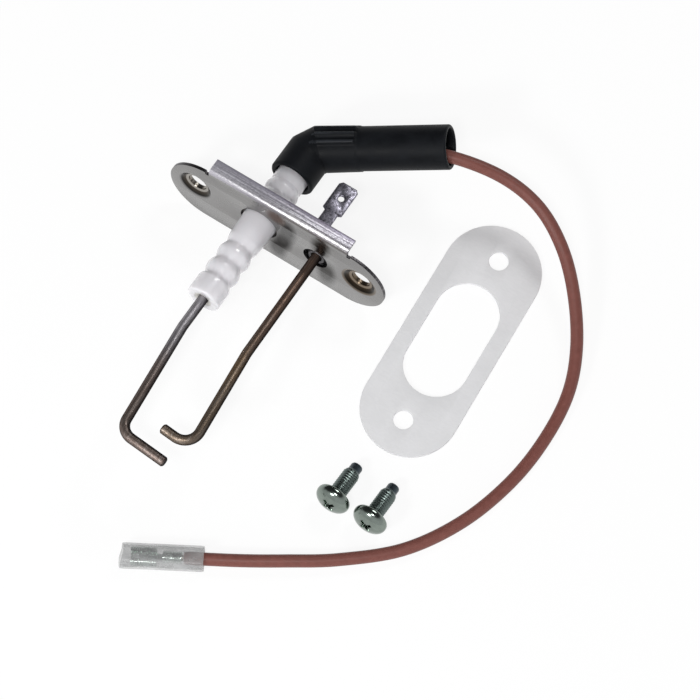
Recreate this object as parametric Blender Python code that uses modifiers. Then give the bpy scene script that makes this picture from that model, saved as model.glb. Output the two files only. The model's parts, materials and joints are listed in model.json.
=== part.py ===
"""Ignition electrode with flange, two rods, rubber elbow boot, lead, gasket and two screws.

Everything lies on the floor the way the loose kit was laid out. Metres, +Z up.
The electrode is built in its own frame: x along the flange, y across it, z out of the burner side.
"""
import bpy
import bmesh
from math import atan2, cos, pi, radians, sin, tan
from mathutils import Matrix, Vector

# fits
GAP = 0.0003            # clearance kept between pieces that meet
LOOSE = 0.0007          # wider clearance round the ceramic in its hole

# flange
SHEET = 0.0010          # flange sheet thickness
HOLE_PITCH = 0.0552     # between the two screw holes, shared with the gasket
FLANGE_WIDTH = 0.0244   # flat part, without the lip
FLANGE_DROP = 0.0013    # middle of the flat part below the line of the holes
LOBE_REACH = 0.0084     # flange end beyond the screw hole centre
LIP_FROM = -0.0234      # the folded lip starts here along the flange
LIP_TO = 0.0226
LIP_DEPTH = 0.0046      # how far the lip reaches back from the burner face
BEND_RADIUS = 0.0016    # outside radius of the fold
LIP_INSET = 0.00003
DISH_RADIUS = 0.0051    # mouth of the dished screw holes
SCREW_HOLE_RADIUS = 0.0029
DISH_DEPTH = 0.0011

# ceramic
CERAMIC_X = -0.0060     # ceramic axis along the flange
BASE_RADIUS = 0.0054    # at the plate
WAIST_RADIUS = 0.0042   # before the first rib
WAIST_Z = 0.0086
RIB_CREST = 0.0051
RIB_PITCH = 0.0045
NOSE_RADIUS = 0.0051
NOSE_END = 0.0292
COLLAR_RADIUS = 0.0075
COLLAR_DEPTH = 0.0026
REAR_CREST = 0.0053
REAR_NECK_RADIUS = 0.0049
CERAMIC_REAR = -0.0232
SEAL_POCKET = 0.0027    # radius of the cement pockets at both ends
SEAL_DEPTH = 0.0025

# bridge that holds the ceramic
BRIDGE_WIDTH = 0.0160
BRIDGE_REACH = 0.0098   # from the ceramic axis to the outside of each leg
BRIDGE_SHEET = 0.0008

# rods
ROD_RADIUS = 0.0015
ROD_TAIL = 0.0030       # spark rod beyond the ceramic, inside the stud
SPARK_KINK_Z = 0.0394
SPARK_CORNER = (0.0031, 0.0750)     # from the ceramic axis
SPARK_END = (0.0186, 0.0761)
EARTH_X = 0.0131
EARTH_Y = -0.0010        # the earth rod sits a little below the line of the holes
EARTH_KINK_Z = 0.0357
EARTH_CORNER = (0.0027, 0.0683)     # from the earth rod axis
EARTH_END = (-0.0070, 0.0676)
CORNER_BEND = 0.0046    # centreline radius of the feet
ROD_TIP = 0.8           # share of the radius left at the chamfered ends
KINK_BEND = 0.0150

# earth terminal
TAB_WIDTH = 0.0063
TAB_SHEET = 0.0008
TAB_X = 0.0106          # blade centre along the flange
TAB_Y = 0.0055          # blade centre across the flange
TAB_TIP_Z = -0.0220
TAB_ROOT_Z = -0.0121
TAB_NECK = 0.0043
BUSH_RADIUS = 0.0027
BUSH_HEAD = 0.0043
FOOT_REACH = 0.0047     # tab foot round the bush
EARTH_HOLE_RADIUS = 0.0040

# boot
LEG_RADIUS = 0.0069
ARM_RADIUS = 0.0065
BORE_RADIUS = 0.0053
LEG_RIM_Z = -0.0172
ELBOW_Z = -0.0289
ARM_LENGTH = 0.0412
ARM_DIRECTION = (0.8596, 0.3320, -0.3884)
CORNER_FLAT = 0.0066    # the elbow's outer corner is cut off flat at this distance
GRIP_RIB_FROM = 0.0020  # along the arm from the elbow
GRIP_RIB_LENGTH = 0.0118
GRIP_RIB_WIDTH = 0.0012
GRIP_RIB_RISE = 0.0005
GRIP_ANGLES = (-111.0, -90.0, -69.0, 69.0, 90.0, 111.0)     # three ribs on each flank

# terminal inside the boot
STUD_RADIUS = 0.0020
STUD_END_Z = -0.0275
SOCKET_WALL = 0.0009
CRIMP_RADIUS = 0.0017
CRIMP_LENGTH = 0.0085
SPRING_WIRE = 0.00035

# lead
LEAD_RADIUS = 0.00185
CORE_RADIUS = 0.0008
LEAD_START = 0.0135     # jacket end, along the arm from the elbow
LEAD_DROP = 0.0028      # the lead leaves the mouth low on the near side
LEAD_ROUTE = (
    (0.0431, 0.0463, 0.0174), (0.0536, 0.0385, 0.0144), (0.0602, 0.0277, 0.0110),
    (0.0636, 0.0149, 0.0077), (0.0644, 0.0000, 0.0046), (0.0618, -0.0137, 0.0027),
    (0.0548, -0.0272, 0.0019), (0.0448, -0.0398, 0.0019), (0.0312, -0.0511, 0.0019),
    (0.0150, -0.0589, 0.0019), (-0.0030, -0.0619, 0.0022), (-0.0180, -0.0624, 0.0027),
    (-0.0310, -0.0623, 0.0027),
)
LEAD_END = (-0.0460, -0.0616, 0.0027)

# sleeve and receptacle, along the lead's last stretch
SLEEVE_LENGTH = 0.0228
SLEEVE_WIDTH = 0.0073
SLEEVE_HEIGHT = 0.0054
SLEEVE_WALL = 0.00055
SLEEVE_LAP = 0.0055     # how far the sleeve covers the lead
RECEPTACLE_WIDTH = 0.0054
RECEPTACLE_HEIGHT = 0.0026
RECEPTACLE_SHEET = 0.0004
RECEPTACLE_BOX = 0.0072
RECEPTACLE_NECK = 0.0018
BARREL_LENGTH = 0.0056

# gasket
GASKET_LENGTH = 0.0760
GASKET_WIDTH = 0.0289
GASKET_THICK = 0.0010
SLOT_LENGTH = 0.0366
SLOT_WIDTH = 0.0190
GASKET_HOLE_RADIUS = 0.00285
GASKET_PLACE = (0.0290, 0.0028)
GASKET_TURN = 59.7

# screws
HEAD_RADIUS = 0.0052
HEAD_HEIGHT = 0.0036
THREAD_RADIUS = 0.0025
THREAD_PITCH = 0.0008
THREAD_TURNS = 11
POINT_RADIUS = 0.0018
POINT_LENGTH = 0.0025
SCREW_HEADS = ((-0.0043, -0.0446), (0.0060, -0.0505))
SCREW_TURN = 56.5       # heading of the tip

# how the electrode lies
HEADING = 32.2          # flange's long axis, clockwise from +X
NOSE_UP = 8.0
PLATE_PLACE = (-0.0209, 0.0304)

ROUND = 32              # facets round large turned pieces


def clear():
    for item in list(bpy.data.objects):
        bpy.data.objects.remove(item, do_unlink=True)
    for group in list(bpy.data.collections):
        bpy.data.collections.remove(group)


clear()
parts = bpy.data.collections.new("ignition_electrode")
tools = bpy.data.collections.new("cutters")
tools.hide_render = True
bpy.context.scene.collection.children.link(parts)
bpy.context.scene.collection.children.link(tools)


def material(name, colour, roughness, metallic):
    made = bpy.data.materials.new(name)
    made.use_nodes = True
    shader = made.node_tree.nodes["Principled BSDF"]
    shader.inputs["Base Color"].default_value = (*colour, 1.0)
    shader.inputs["Roughness"].default_value = roughness
    shader.inputs["Metallic"].default_value = metallic
    made.diffuse_color = (*colour, 1.0)
    return made


STEEL = material("satin_steel", (0.52, 0.51, 0.49), 0.32, 1.0)
SPRING = material("spring_steel", (0.38, 0.38, 0.37), 0.35, 1.0)
CERAMIC = material("glazed_ceramic", (0.86, 0.85, 0.84), 0.16, 0.0)
CEMENT = material("cement", (0.70, 0.68, 0.64), 0.80, 0.0)
SEALING = material("sealing_fibre", (0.16, 0.15, 0.14), 0.85, 0.0)
SPARK_WIRE = material("heat_wire_grey", (0.20, 0.17, 0.15), 0.38, 1.0)
EARTH_WIRE = material("heat_wire_brown", (0.23, 0.16, 0.11), 0.40, 1.0)
TINNED = material("tinned_steel", (0.56, 0.56, 0.57), 0.30, 1.0)
BRASS = material("plated_brass", (0.62, 0.52, 0.30), 0.30, 1.0)
RUBBER = material("black_rubber", (0.014, 0.016, 0.018), 0.55, 0.0)
SILICONE = material("brown_silicone", (0.27, 0.085, 0.055), 0.45, 0.0)
COPPER = material("tinned_copper", (0.60, 0.50, 0.44), 0.35, 1.0)
CLEAR = material("clear_sleeve", (0.72, 0.75, 0.74), 0.30, 0.0)
FIBRE = material("white_fibre", (0.74, 0.74, 0.75), 0.90, 0.0)
ZINC = material("zinc_plate", (0.46, 0.48, 0.46), 0.28, 1.0)


def add(name, mesh, place, finish=None):
    """Put a mesh in the scene: a part when it has a finish, a cutter when it has none."""
    made = bpy.data.objects.new(name, mesh)
    made.matrix_world = place
    if finish:
        mesh.materials.append(finish)
        parts.objects.link(made)
    else:
        tools.objects.link(made)
        made.hide_render = True
        made.display_type = "WIRE"
    return made


def settle(source):
    """Turn an object with its modifiers or curve into a plain welded mesh."""
    tools.objects.link(source)
    bpy.context.view_layer.update()
    graph = bpy.context.evaluated_depsgraph_get()
    mesh = bpy.data.meshes.new_from_object(source.evaluated_get(graph))
    bpy.data.objects.remove(source, do_unlink=True)
    work = bmesh.new()
    work.from_mesh(mesh)
    bmesh.ops.remove_doubles(work, verts=work.verts, dist=1e-7)
    work.to_mesh(mesh)
    work.free()
    mesh.materials.clear()
    return mesh


def turned(profile, steps=ROUND, closed=False):
    """Turn a profile of (radius, z) about z: outer side from top to bottom."""
    count = len(profile)
    edges = [(k, k + 1) for k in range(count - 1)] + ([(count - 1, 0)] if closed else [])
    mesh = bpy.data.meshes.new("profile")
    mesh.from_pydata([(r, 0.0, z) for r, z in profile], edges, [])
    source = bpy.data.objects.new("profile", mesh)
    lathe = source.modifiers.new("turn", "SCREW")
    lathe.steps = lathe.render_steps = steps
    lathe.use_merge_vertices = True
    lathe.merge_threshold = 0.000002
    return settle(source)


def flat(outlines, thickness):
    """A sheet cut to outlines in x and y, the second and later ones being holes, from z = 0 upward."""
    curve = bpy.data.curves.new("outline", "CURVE")
    curve.dimensions = "2D"
    curve.fill_mode = "BOTH"
    curve.extrude = thickness / 2
    for outline in outlines:
        spline = curve.splines.new("POLY")
        spline.points.add(len(outline) - 1)
        for point, (x, y) in zip(spline.points, outline):
            point.co = (x, y, 0.0, 1.0)
        spline.use_cyclic_u = True
    mesh = settle(bpy.data.objects.new("outline", curve))
    mesh.transform(Matrix.Translation((0.0, 0.0, thickness / 2)))
    return mesh


def wire(points, radius, sides=4, ends=1.0):
    """A round rod along points; ends below 1 thins the very tips into a small chamfer."""
    path = [Vector(p) for p in points]
    sizes = [1.0] * len(path)
    if ends < 1.0:
        lead_in = radius * (1.0 - ends)
        path.insert(1, path[0] + (path[1] - path[0]).normalized() * lead_in)
        path.insert(-1, path[-1] + (path[-2] - path[-1]).normalized() * lead_in)
        sizes = [ends] + [1.0] * (len(path) - 2) + [ends]
    curve = bpy.data.curves.new("path", "CURVE")
    curve.dimensions = "3D"
    curve.bevel_depth = radius
    curve.bevel_resolution = sides
    curve.use_fill_caps = True
    spline = curve.splines.new("POLY")
    spline.points.add(len(path) - 1)
    for point, place, size in zip(spline.points, path, sizes):
        point.co = (*place, 1.0)
        point.radius = size
    return settle(bpy.data.objects.new("path", curve))


def block(low, high):
    mesh = bpy.data.meshes.new("block")
    work = bmesh.new()
    bmesh.ops.create_cube(work, size=1.0)
    size = Vector(high) - Vector(low)
    middle = (Vector(high) + Vector(low)) / 2
    bmesh.ops.scale(work, vec=size, verts=work.verts)
    bmesh.ops.translate(work, vec=middle, verts=work.verts)
    work.to_mesh(mesh)
    work.free()
    return mesh


def join(target, tool, how="UNION"):
    step = target.modifiers.new(how.lower(), "BOOLEAN")
    step.operation = how
    step.solver = "EXACT"
    step.object = tool


def cut(target, tool):
    join(target, tool, "DIFFERENCE")


def twice(mesh, reach):
    """The mesh at both ends of a line along x, as one mesh."""
    work = bmesh.new()
    for shift in (-reach, 2 * reach):
        mesh.transform(Matrix.Translation((shift, 0.0, 0.0)))
        work.from_mesh(mesh)
    work.to_mesh(mesh)
    work.free()
    return mesh


def arc(cx, cy, radius, start, stop, count):
    """Points on an arc, in degrees."""
    return [(cx + radius * cos(radians(start + (stop - start) * k / (count - 1))),
             cy + radius * sin(radians(start + (stop - start) * k / (count - 1)))) for k in range(count)]


def circle(cx, cy, radius, count=24):
    return arc(cx, cy, radius, 0.0, 360.0 - 360.0 / count, count)


def stadium(length, width, count=13):
    reach = (length - width) / 2
    return arc(reach, 0.0, width / 2, -90.0, 90.0, count) + arc(-reach, 0.0, width / 2, 90.0, 270.0, count)


def rounded(points, radii, count=6):
    """Replace the inner corners of a path by arcs of the given radii."""
    path = [Vector(p) for p in points]
    made = [path[0]]
    for before, corner, after, radius in zip(path, path[1:], path[2:], radii):
        one, two = (before - corner).normalized(), (after - corner).normalized()
        half = one.angle(two) / 2
        setback = radius / tan(half)
        centre = corner + (one + two).normalized() * (radius / sin(half))
        start, stop = corner + one * setback, corner + two * setback
        spread = (start - centre).angle(stop - centre)
        for k in range(count):
            t = k / (count - 1)
            swing = ((start - centre) * sin((1 - t) * spread) + (stop - centre) * sin(t * spread)) / sin(spread)
            made.append(centre + swing)
    return made + [path[-1]]


def smooth(points, steps=4):
    """A curve through all the points."""
    path = [Vector(p) for p in points]
    path = [2 * path[0] - path[1]] + path + [2 * path[-1] - path[-2]]
    made = []
    for p0, p1, p2, p3 in zip(path, path[1:], path[2:], path[3:]):
        for k in range(steps):
            t = k / steps
            made.append(0.5 * (2 * p1 + (p2 - p0) * t + (2 * p0 - 5 * p1 + 4 * p2 - p3) * t * t
                               + (3 * p1 - p0 - 3 * p2 + p3) * t * t * t))
    return made + [path[-2]]


def aligned(origin, x, z):
    """A frame at origin with its x and z axes along the given directions."""
    z = Vector(z).normalized()
    y = z.cross(Vector(x)).normalized()
    x = y.cross(z)
    turn = Matrix((x, y, z)).transposed().to_4x4()
    return Matrix.Translation(origin) @ turn


# frames: the plate's lower edge stands on the floor
tilt = radians(NOSE_UP)
low_edge = FLANGE_WIDTH / 2 + FLANGE_DROP
stand = low_edge * cos(tilt) + SHEET * sin(tilt)
PLATE = (Matrix.Translation((*PLATE_PLACE, stand)) @ Matrix.Rotation(-radians(HEADING), 4, "Z")
         @ Matrix.Rotation(pi / 2 - tilt, 4, "X"))
AXIS = PLATE @ Matrix.Translation((CERAMIC_X, 0.0, 0.0))
EARTH = PLATE @ Matrix.Translation((EARTH_X, EARTH_Y, 0.0))


# flange: sheet with two lobes, one lip folded back along the upper edge, dished screw holes
half_pitch = HOLE_PITCH / 2
half_width = FLANGE_WIDTH / 2
lobe_centre = half_pitch + LOBE_REACH - half_width
outline = (arc(lobe_centre, -FLANGE_DROP, half_width, -90.0, 90.0, 29)
           + arc(-lobe_centre, -FLANGE_DROP, half_width, 90.0, 270.0, 29))
hole_radius = BASE_RADIUS + LOOSE
sheet = flat([outline, circle(CERAMIC_X, 0.0, hole_radius, ROUND),
              circle(EARTH_X, EARTH_Y, EARTH_HOLE_RADIUS)], SHEET)
BACK = Matrix.Translation((0.0, 0.0, -SHEET))
flange = add("flange_plate", sheet, PLATE @ BACK, STEEL)
fold_y = half_width - FLANGE_DROP + 0.0001
lip_y = fold_y + BEND_RADIUS - LIP_INSET
# the lip's root is a hair thinner than the sheet, so that no faces lie on each other
lip_profile = ([(fold_y - 0.0012, -LIP_INSET)] + arc(fold_y, -BEND_RADIUS, BEND_RADIUS - LIP_INSET, 90.0, 0.0, 6)
               + [(lip_y, -LIP_DEPTH), (lip_y - SHEET + 2 * LIP_INSET, -LIP_DEPTH)]
               + arc(fold_y, -BEND_RADIUS, BEND_RADIUS - SHEET + LIP_INSET, 0.0, 90.0, 4)
               + [(fold_y - 0.0012, -SHEET + LIP_INSET)])
# the profile lies in y and z of the plate and runs along its x
upright = aligned((LIP_FROM, 0.0, 0.0), (0.0, 1.0, 0.0), (1.0, 0.0, 0.0))
join(flange, add("lip", flat([lip_profile], LIP_TO - LIP_FROM), PLATE @ upright))
back_rim = -DISH_DEPTH - SHEET
boss = turned([(0.0, -SHEET / 2), (DISH_RADIUS + 0.0009, -SHEET / 2), (DISH_RADIUS + 0.0005, -SHEET - 0.0001),
               (DISH_RADIUS - 0.0002, back_rim + 0.0003), (DISH_RADIUS - 0.0006, back_rim), (0.0, back_rim)], 32)
dish = turned([(0.0, 0.0005), (DISH_RADIUS, 0.0005), (DISH_RADIUS, -0.00005), (DISH_RADIUS - 0.0004, -0.0003),
               (DISH_RADIUS - 0.0008, -DISH_DEPTH + 0.0003), (DISH_RADIUS - 0.0012, -DISH_DEPTH + 0.0001),
               (SCREW_HOLE_RADIUS + 0.0003, -DISH_DEPTH), (SCREW_HOLE_RADIUS, -DISH_DEPTH - 0.0003),
               (SCREW_HOLE_RADIUS, back_rim - 0.0005), (0.0, back_rim - 0.0005)], 32)
join(flange, add("dish_bosses", twice(boss, half_pitch), PLATE))
cut(flange, add("dishes", twice(dish, half_pitch), PLATE))


# ceramic: nose, three ribs, tapered base, collar behind the plate, two rear ribs, neck inside the boot
def ribs(start, count, pitch, crest, valley):
    """Rounded ribs going down from start."""
    made = []
    for k in range(count):
        top = start - k * pitch
        for t in (0.12, 0.30, 0.50, 0.70, 0.88):
            swell = sin(pi * t) ** 0.7
            made.append((valley + (crest - valley) * swell, top - t * pitch))
        made.append((valley, top - pitch))
    return made


nose_from = WAIST_Z + 3 * RIB_PITCH
bore = ROD_RADIUS + GAP
collar_front = -SHEET - GAP - 0.0006 - GAP
collar_back = collar_front - COLLAR_DEPTH
rear_ribs = collar_back - 0.0012
ceramic = turned(
    [(SEAL_POCKET, NOSE_END), (NOSE_RADIUS - 0.0006, NOSE_END), (NOSE_RADIUS - 0.0002, NOSE_END - 0.0002),
     (NOSE_RADIUS, NOSE_END - 0.0006), (NOSE_RADIUS, nose_from + 0.0006), (NOSE_RADIUS - 0.0003, nose_from)]
    + ribs(nose_from, 3, RIB_PITCH, RIB_CREST, WAIST_RADIUS)
    + [(BASE_RADIUS, 0.0004), (BASE_RADIUS, collar_front), (COLLAR_RADIUS - 0.0003, collar_front),
       (COLLAR_RADIUS, collar_front - 0.0003), (COLLAR_RADIUS, collar_back + 0.0003),
       (COLLAR_RADIUS - 0.0003, collar_back), (REAR_CREST, collar_back), (REAR_CREST, rear_ribs)]
    + ribs(rear_ribs, 2, 0.0040, REAR_CREST, REAR_NECK_RADIUS - 0.0002)
    + [(REAR_NECK_RADIUS, rear_ribs - 0.0084), (REAR_NECK_RADIUS, CERAMIC_REAR + 0.0005),
       (REAR_NECK_RADIUS - 0.0005, CERAMIC_REAR), (SEAL_POCKET, CERAMIC_REAR),
       (SEAL_POCKET, CERAMIC_REAR + SEAL_DEPTH), (bore, CERAMIC_REAR + SEAL_DEPTH),
       (bore, NOSE_END - SEAL_DEPTH), (SEAL_POCKET, NOSE_END - SEAL_DEPTH)], closed=True)
add("ceramic_insulator", ceramic, AXIS, CERAMIC)

for name, low in (("cement_front", NOSE_END - SEAL_DEPTH + GAP), ("cement_rear", CERAMIC_REAR + 0.0002)):
    high = low + SEAL_DEPTH - GAP - 0.0002
    ring = [(bore, high), (SEAL_POCKET - GAP, high), (SEAL_POCKET - GAP, low), (bore, low)]
    add(name, turned(ring, 24, closed=True), AXIS, CEMENT)

washer_top = -SHEET - GAP
washer = [(BASE_RADIUS + GAP, washer_top), (COLLAR_RADIUS, washer_top), (COLLAR_RADIUS, washer_top - 0.0006),
          (BASE_RADIUS + GAP, washer_top - 0.0006)]
add("sealing_washer", turned(washer, 32, closed=True), AXIS, SEALING)

# bridge that clamps the collar to the back of the plate, its two legs standing on the plate
bridge_top = collar_back - GAP
half_bridge = BRIDGE_WIDTH / 2
bridge = add("retaining_bridge", flat([[(-half_bridge, -BRIDGE_REACH), (half_bridge, -BRIDGE_REACH),
                                        (half_bridge, BRIDGE_REACH), (-half_bridge, BRIDGE_REACH)],
                                       circle(0.0, 0.0, REAR_CREST + GAP, 32)], BRIDGE_SHEET),
             AXIS @ Matrix.Translation((0.0, 0.0, bridge_top - BRIDGE_SHEET)), SPRING)
for side in (-1.0, 1.0):
    low, high = sorted((side * BRIDGE_REACH, side * (BRIDGE_REACH - BRIDGE_SHEET)))
    leg = block((-half_bridge, low, bridge_top - BRIDGE_SHEET / 2), (half_bridge, high, -SHEET - GAP))
    join(bridge, add("bridge_leg", leg, AXIS))

# spark rod, one wire through the ceramic, and the stud pressed on its rear end
spark_path = [(0.0, 0.0, CERAMIC_REAR - ROD_TAIL), (0.0, 0.0, SPARK_KINK_Z),
              (SPARK_CORNER[0], 0.0, SPARK_CORNER[1]), (SPARK_END[0], 0.0, SPARK_END[1])]
add("spark_rod", wire(rounded(spark_path, (KINK_BEND, CORNER_BEND), 8), ROD_RADIUS, 4, ROD_TIP), AXIS, SPARK_WIRE)

stud_top = CERAMIC_REAR - GAP
stud = turned([(0.0, stud_top), (STUD_RADIUS + 0.0009, stud_top), (STUD_RADIUS + 0.0009, stud_top - 0.0008),
               (STUD_RADIUS, stud_top - 0.0009), (STUD_RADIUS, STUD_END_Z + 0.0005),
               (STUD_RADIUS - 0.0005, STUD_END_Z), (0.0, STUD_END_Z)], 24)
stud = add("terminal_stud", stud, AXIS, TINNED)
pocket_end = CERAMIC_REAR - ROD_TAIL - GAP
cut(stud, add("stud_pocket", turned([(0.0, stud_top + 0.0005), (bore, stud_top + 0.0005), (bore, pocket_end),
                                     (0.0, pocket_end)], 24), AXIS))

# earth rod, its bush through the plate and the tab clamped under the bush head
foot_top = -SHEET - GAP
foot_back = foot_top - TAB_SHEET
head_top = foot_back - GAP
earth_rear = head_top - 0.0022
earth_path = [(0.0, 0.0, earth_rear), (0.0, 0.0, EARTH_KINK_Z),
              (EARTH_CORNER[0], 0.0, EARTH_CORNER[1]), (EARTH_END[0], 0.0, EARTH_END[1])]
add("earth_rod", wire(rounded(earth_path, (KINK_BEND, CORNER_BEND), 8), ROD_RADIUS, 4, ROD_TIP), EARTH, EARTH_WIRE)

bush = [(bore, -0.0004), (BUSH_RADIUS, -0.0004), (BUSH_RADIUS, head_top), (BUSH_HEAD, head_top),
        (BUSH_HEAD, head_top - 0.0009), (BUSH_HEAD - 0.0004, head_top - 0.0013), (bore, head_top - 0.0013)]
add("earth_bush", turned(bush, 28, closed=True), EARTH, SPRING)

# tab: foot behind the plate, bend, neck and blade
foot_low, foot_high = EARTH_Y - FOOT_REACH, TAB_Y + TAB_SHEET / 2
foot_left, foot_right = TAB_X - TAB_NECK / 2, EARTH_X + FOOT_REACH
foot = flat([[(foot_left, foot_low), (foot_right, foot_low), (foot_right, EARTH_Y + FOOT_REACH),
              (TAB_X + TAB_NECK / 2, foot_high), (foot_left, foot_high)],
             circle(EARTH_X, EARTH_Y, BUSH_RADIUS + GAP)], TAB_SHEET)
tab = add("earth_tab", foot, PLATE @ Matrix.Translation((0.0, 0.0, foot_back)), TINNED)
half_tab, half_neck = TAB_WIDTH / 2, TAB_NECK / 2
blade_outline = [(TAB_X - half_neck, foot_top - TAB_SHEET / 2), (TAB_X - half_neck, TAB_ROOT_Z + 0.0004),
                 (TAB_X - half_tab, TAB_ROOT_Z), (TAB_X - half_tab, TAB_TIP_Z + 0.0010),
                 (TAB_X - half_tab + 0.0009, TAB_TIP_Z), (TAB_X + half_tab - 0.0009, TAB_TIP_Z),
                 (TAB_X + half_tab, TAB_TIP_Z + 0.0010), (TAB_X + half_tab, TAB_ROOT_Z),
                 (TAB_X + half_neck, TAB_ROOT_Z + 0.0004), (TAB_X + half_neck, foot_top - TAB_SHEET / 2)]
blade = flat([blade_outline, circle(TAB_X, (TAB_ROOT_Z + TAB_TIP_Z) / 2, 0.0009, 16)], TAB_SHEET)
# blade outline is drawn in x and z, so it is stood up with its thickness along y
stand_up = Matrix.Translation((0.0, TAB_Y + TAB_SHEET / 2, 0.0)) @ Matrix.Rotation(pi / 2, 4, "X")
join(tab, add("tab_blade", blade, PLATE @ stand_up))

# boot: elbow swept from the leg rim to the open mouth, hollow all the way
arm = Vector(ARM_DIRECTION).normalized()
elbow = Vector((0.0, 0.0, ELBOW_Z))
leg_dir = Vector((0.0, 0.0, -1.0))


def elbow_tube(start, stop, leg_radius, arm_radius, corner, sides=28):
    """Leg and arm tubes that meet in a mitre, with the outer corner cut off flat."""
    mitre, outward = (leg_dir + arm).normalized(), (leg_dir - arm).normalized()
    across = leg_dir.cross(arm).normalized()
    verts = []
    for run, radius, ends in ((leg_dir, leg_radius, (Vector((0.0, 0.0, start)), elbow)),
                              (arm, arm_radius, (elbow, elbow + arm * stop))):
        side = across.cross(run)
        for place in ends:
            for k in range(sides):
                angle = 2 * pi * k / sides
                point = place + side * (radius * cos(angle)) + across * (radius * sin(angle))
                if place == elbow:
                    point -= run * ((point - elbow).dot(mitre) / run.dot(mitre))
                    beyond = (point - elbow).dot(outward) - corner
                    if beyond > 0.0:
                        point -= run * (beyond / run.dot(outward))
                verts.append(point)
    faces = [tuple(range(sides))[::-1], tuple(range(3 * sides, 4 * sides))]
    for ring in range(3):
        for k in range(sides):
            one, two = ring * sides + k, ring * sides + (k + 1) % sides
            faces.append((one, two, two + sides, one + sides))
    mesh = bpy.data.meshes.new("elbow")
    mesh.from_pydata(verts, [], faces)
    work = bmesh.new()
    work.from_mesh(mesh)
    bmesh.ops.remove_doubles(work, verts=work.verts, dist=1e-6)
    bmesh.ops.recalc_face_normals(work, faces=work.faces)
    work.to_mesh(mesh)
    work.free()
    return mesh


boot = add("boot", elbow_tube(LEG_RIM_Z, ARM_LENGTH, LEG_RADIUS, ARM_RADIUS, CORNER_FLAT), AXIS, RUBBER)
# grip ribs run along the arm on both flanks
outer = (leg_dir - arm * leg_dir.dot(arm)).normalized()
for angle in GRIP_ANGLES:
    up = Matrix.Rotation(radians(angle), 4, arm) @ outer
    rib = block((GRIP_RIB_FROM, -GRIP_RIB_WIDTH / 2, ARM_RADIUS - 0.0006),
                (GRIP_RIB_FROM + GRIP_RIB_LENGTH, GRIP_RIB_WIDTH / 2, ARM_RADIUS + GRIP_RIB_RISE))
    join(boot, add("grip_rib", rib, AXIS @ aligned(elbow, arm, up)))
cut(boot, add("boot_bore", elbow_tube(LEG_RIM_Z + 0.002, ARM_LENGTH + 0.002, BORE_RADIUS, BORE_RADIUS,
                                      CORNER_FLAT - LEG_RADIUS + BORE_RADIUS), AXIS))

# snap terminal: socket over the stud, crimp barrel along the arm
socket_bore = STUD_RADIUS + GAP
socket_out = socket_bore + SOCKET_WALL
socket_top = stud_top - 0.0008 - 2 * GAP
socket_low = STUD_END_Z - GAP - 0.0006
socket = turned([(0.0, socket_top), (socket_out, socket_top), (socket_out, socket_low + 0.0004),
                 (CRIMP_RADIUS, socket_low - 0.0004), (CRIMP_RADIUS, ELBOW_Z - 0.0012),
                 (CRIMP_RADIUS - 0.0005, ELBOW_Z - 0.0016), (0.0, ELBOW_Z - 0.0016)], 28)
snap = add("snap_terminal", socket, AXIS, BRASS)
barrel_seat = aligned(elbow, (0.0, 1.0, 0.0), arm)
barrel_from, barrel_to = 0.0004, 0.0023 + CRIMP_LENGTH
barrel = turned([(0.0, barrel_to), (CRIMP_RADIUS, barrel_to), (CRIMP_RADIUS, barrel_from), (0.0, barrel_from)], 20)
join(snap, add("crimp_barrel", barrel, AXIS @ barrel_seat))
cut(snap, add("socket_bore", turned([(0.0, socket_top + 0.0005), (socket_bore, socket_top + 0.0005),
                                     (socket_bore, socket_low + 0.0006), (0.0, socket_low + 0.0006)], 24), AXIS))
core_from = 0.0044
core_bore = turned([(0.0, barrel_to + 0.0005), (CORE_RADIUS + GAP, barrel_to + 0.0005),
                    (CORE_RADIUS + GAP, core_from - GAP), (0.0, core_from - GAP)], 20)
cut(snap, add("crimp_bore", core_bore, AXIS @ barrel_seat))
ring_radius = socket_out + GAP + SPRING_WIRE
ring = arc(ring_radius, (socket_top + ELBOW_Z) / 2, SPRING_WIRE, 90.0, -225.0, 8)
add("snap_ring", turned(ring, 28, closed=True), AXIS, SPRING)
add("lead_core_boot", turned([(0.0, LEAD_START - GAP), (CORE_RADIUS, LEAD_START - GAP), (CORE_RADIUS, core_from),
                              (0.0, core_from)], 16), AXIS @ barrel_seat, COPPER)

# lead: along the arm, out of the mouth on its near side, down to the floor and round to the sleeve
mouth = AXIS @ (elbow + arm * ARM_LENGTH)
inside = AXIS @ (elbow + arm * LEAD_START)
along = (mouth - inside).normalized()
low_side = Vector((0.0, -1.0, -0.25))
low_side = (low_side - along * low_side.dot(along)).normalized()
route = [inside, inside + along * 0.006, inside + along * 0.014 + low_side * LEAD_DROP * 0.35,
         mouth + low_side * LEAD_DROP] + [Vector(p) for p in LEAD_ROUTE] + [Vector(LEAD_END)]
add("lead", wire(smooth(route), LEAD_RADIUS, 3), Matrix.Identity(4), SILICONE)

# far end: straight stretch, pointing from the lead toward the sleeve's open end
tail = (Vector(LEAD_END) - Vector(LEAD_ROUTE[-1])).normalized()
TAIL = aligned(Vector(LEAD_END), (0.0, 0.0, 1.0), tail)     # z along the tail, x up, y across
tail_barrel = GAP + BARREL_LENGTH
core_end = turned([(0.0, BARREL_LENGTH), (CORE_RADIUS, BARREL_LENGTH), (CORE_RADIUS, GAP), (0.0, GAP)], 16)
add("lead_core_far", core_end, TAIL, COPPER)
cup = turned([(CORE_RADIUS + GAP, tail_barrel), (CRIMP_RADIUS, tail_barrel), (CRIMP_RADIUS, 2 * GAP),
              (CORE_RADIUS + GAP, 2 * GAP)], 20, closed=True)
receptacle = add("receptacle", cup, TAIL, TINNED)
box_from = tail_barrel + RECEPTACLE_NECK
box_to = box_from + RECEPTACLE_BOX
half_box, rise, skin = RECEPTACLE_WIDTH / 2, RECEPTACLE_HEIGHT, RECEPTACLE_SHEET
curl = rise / 2
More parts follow.
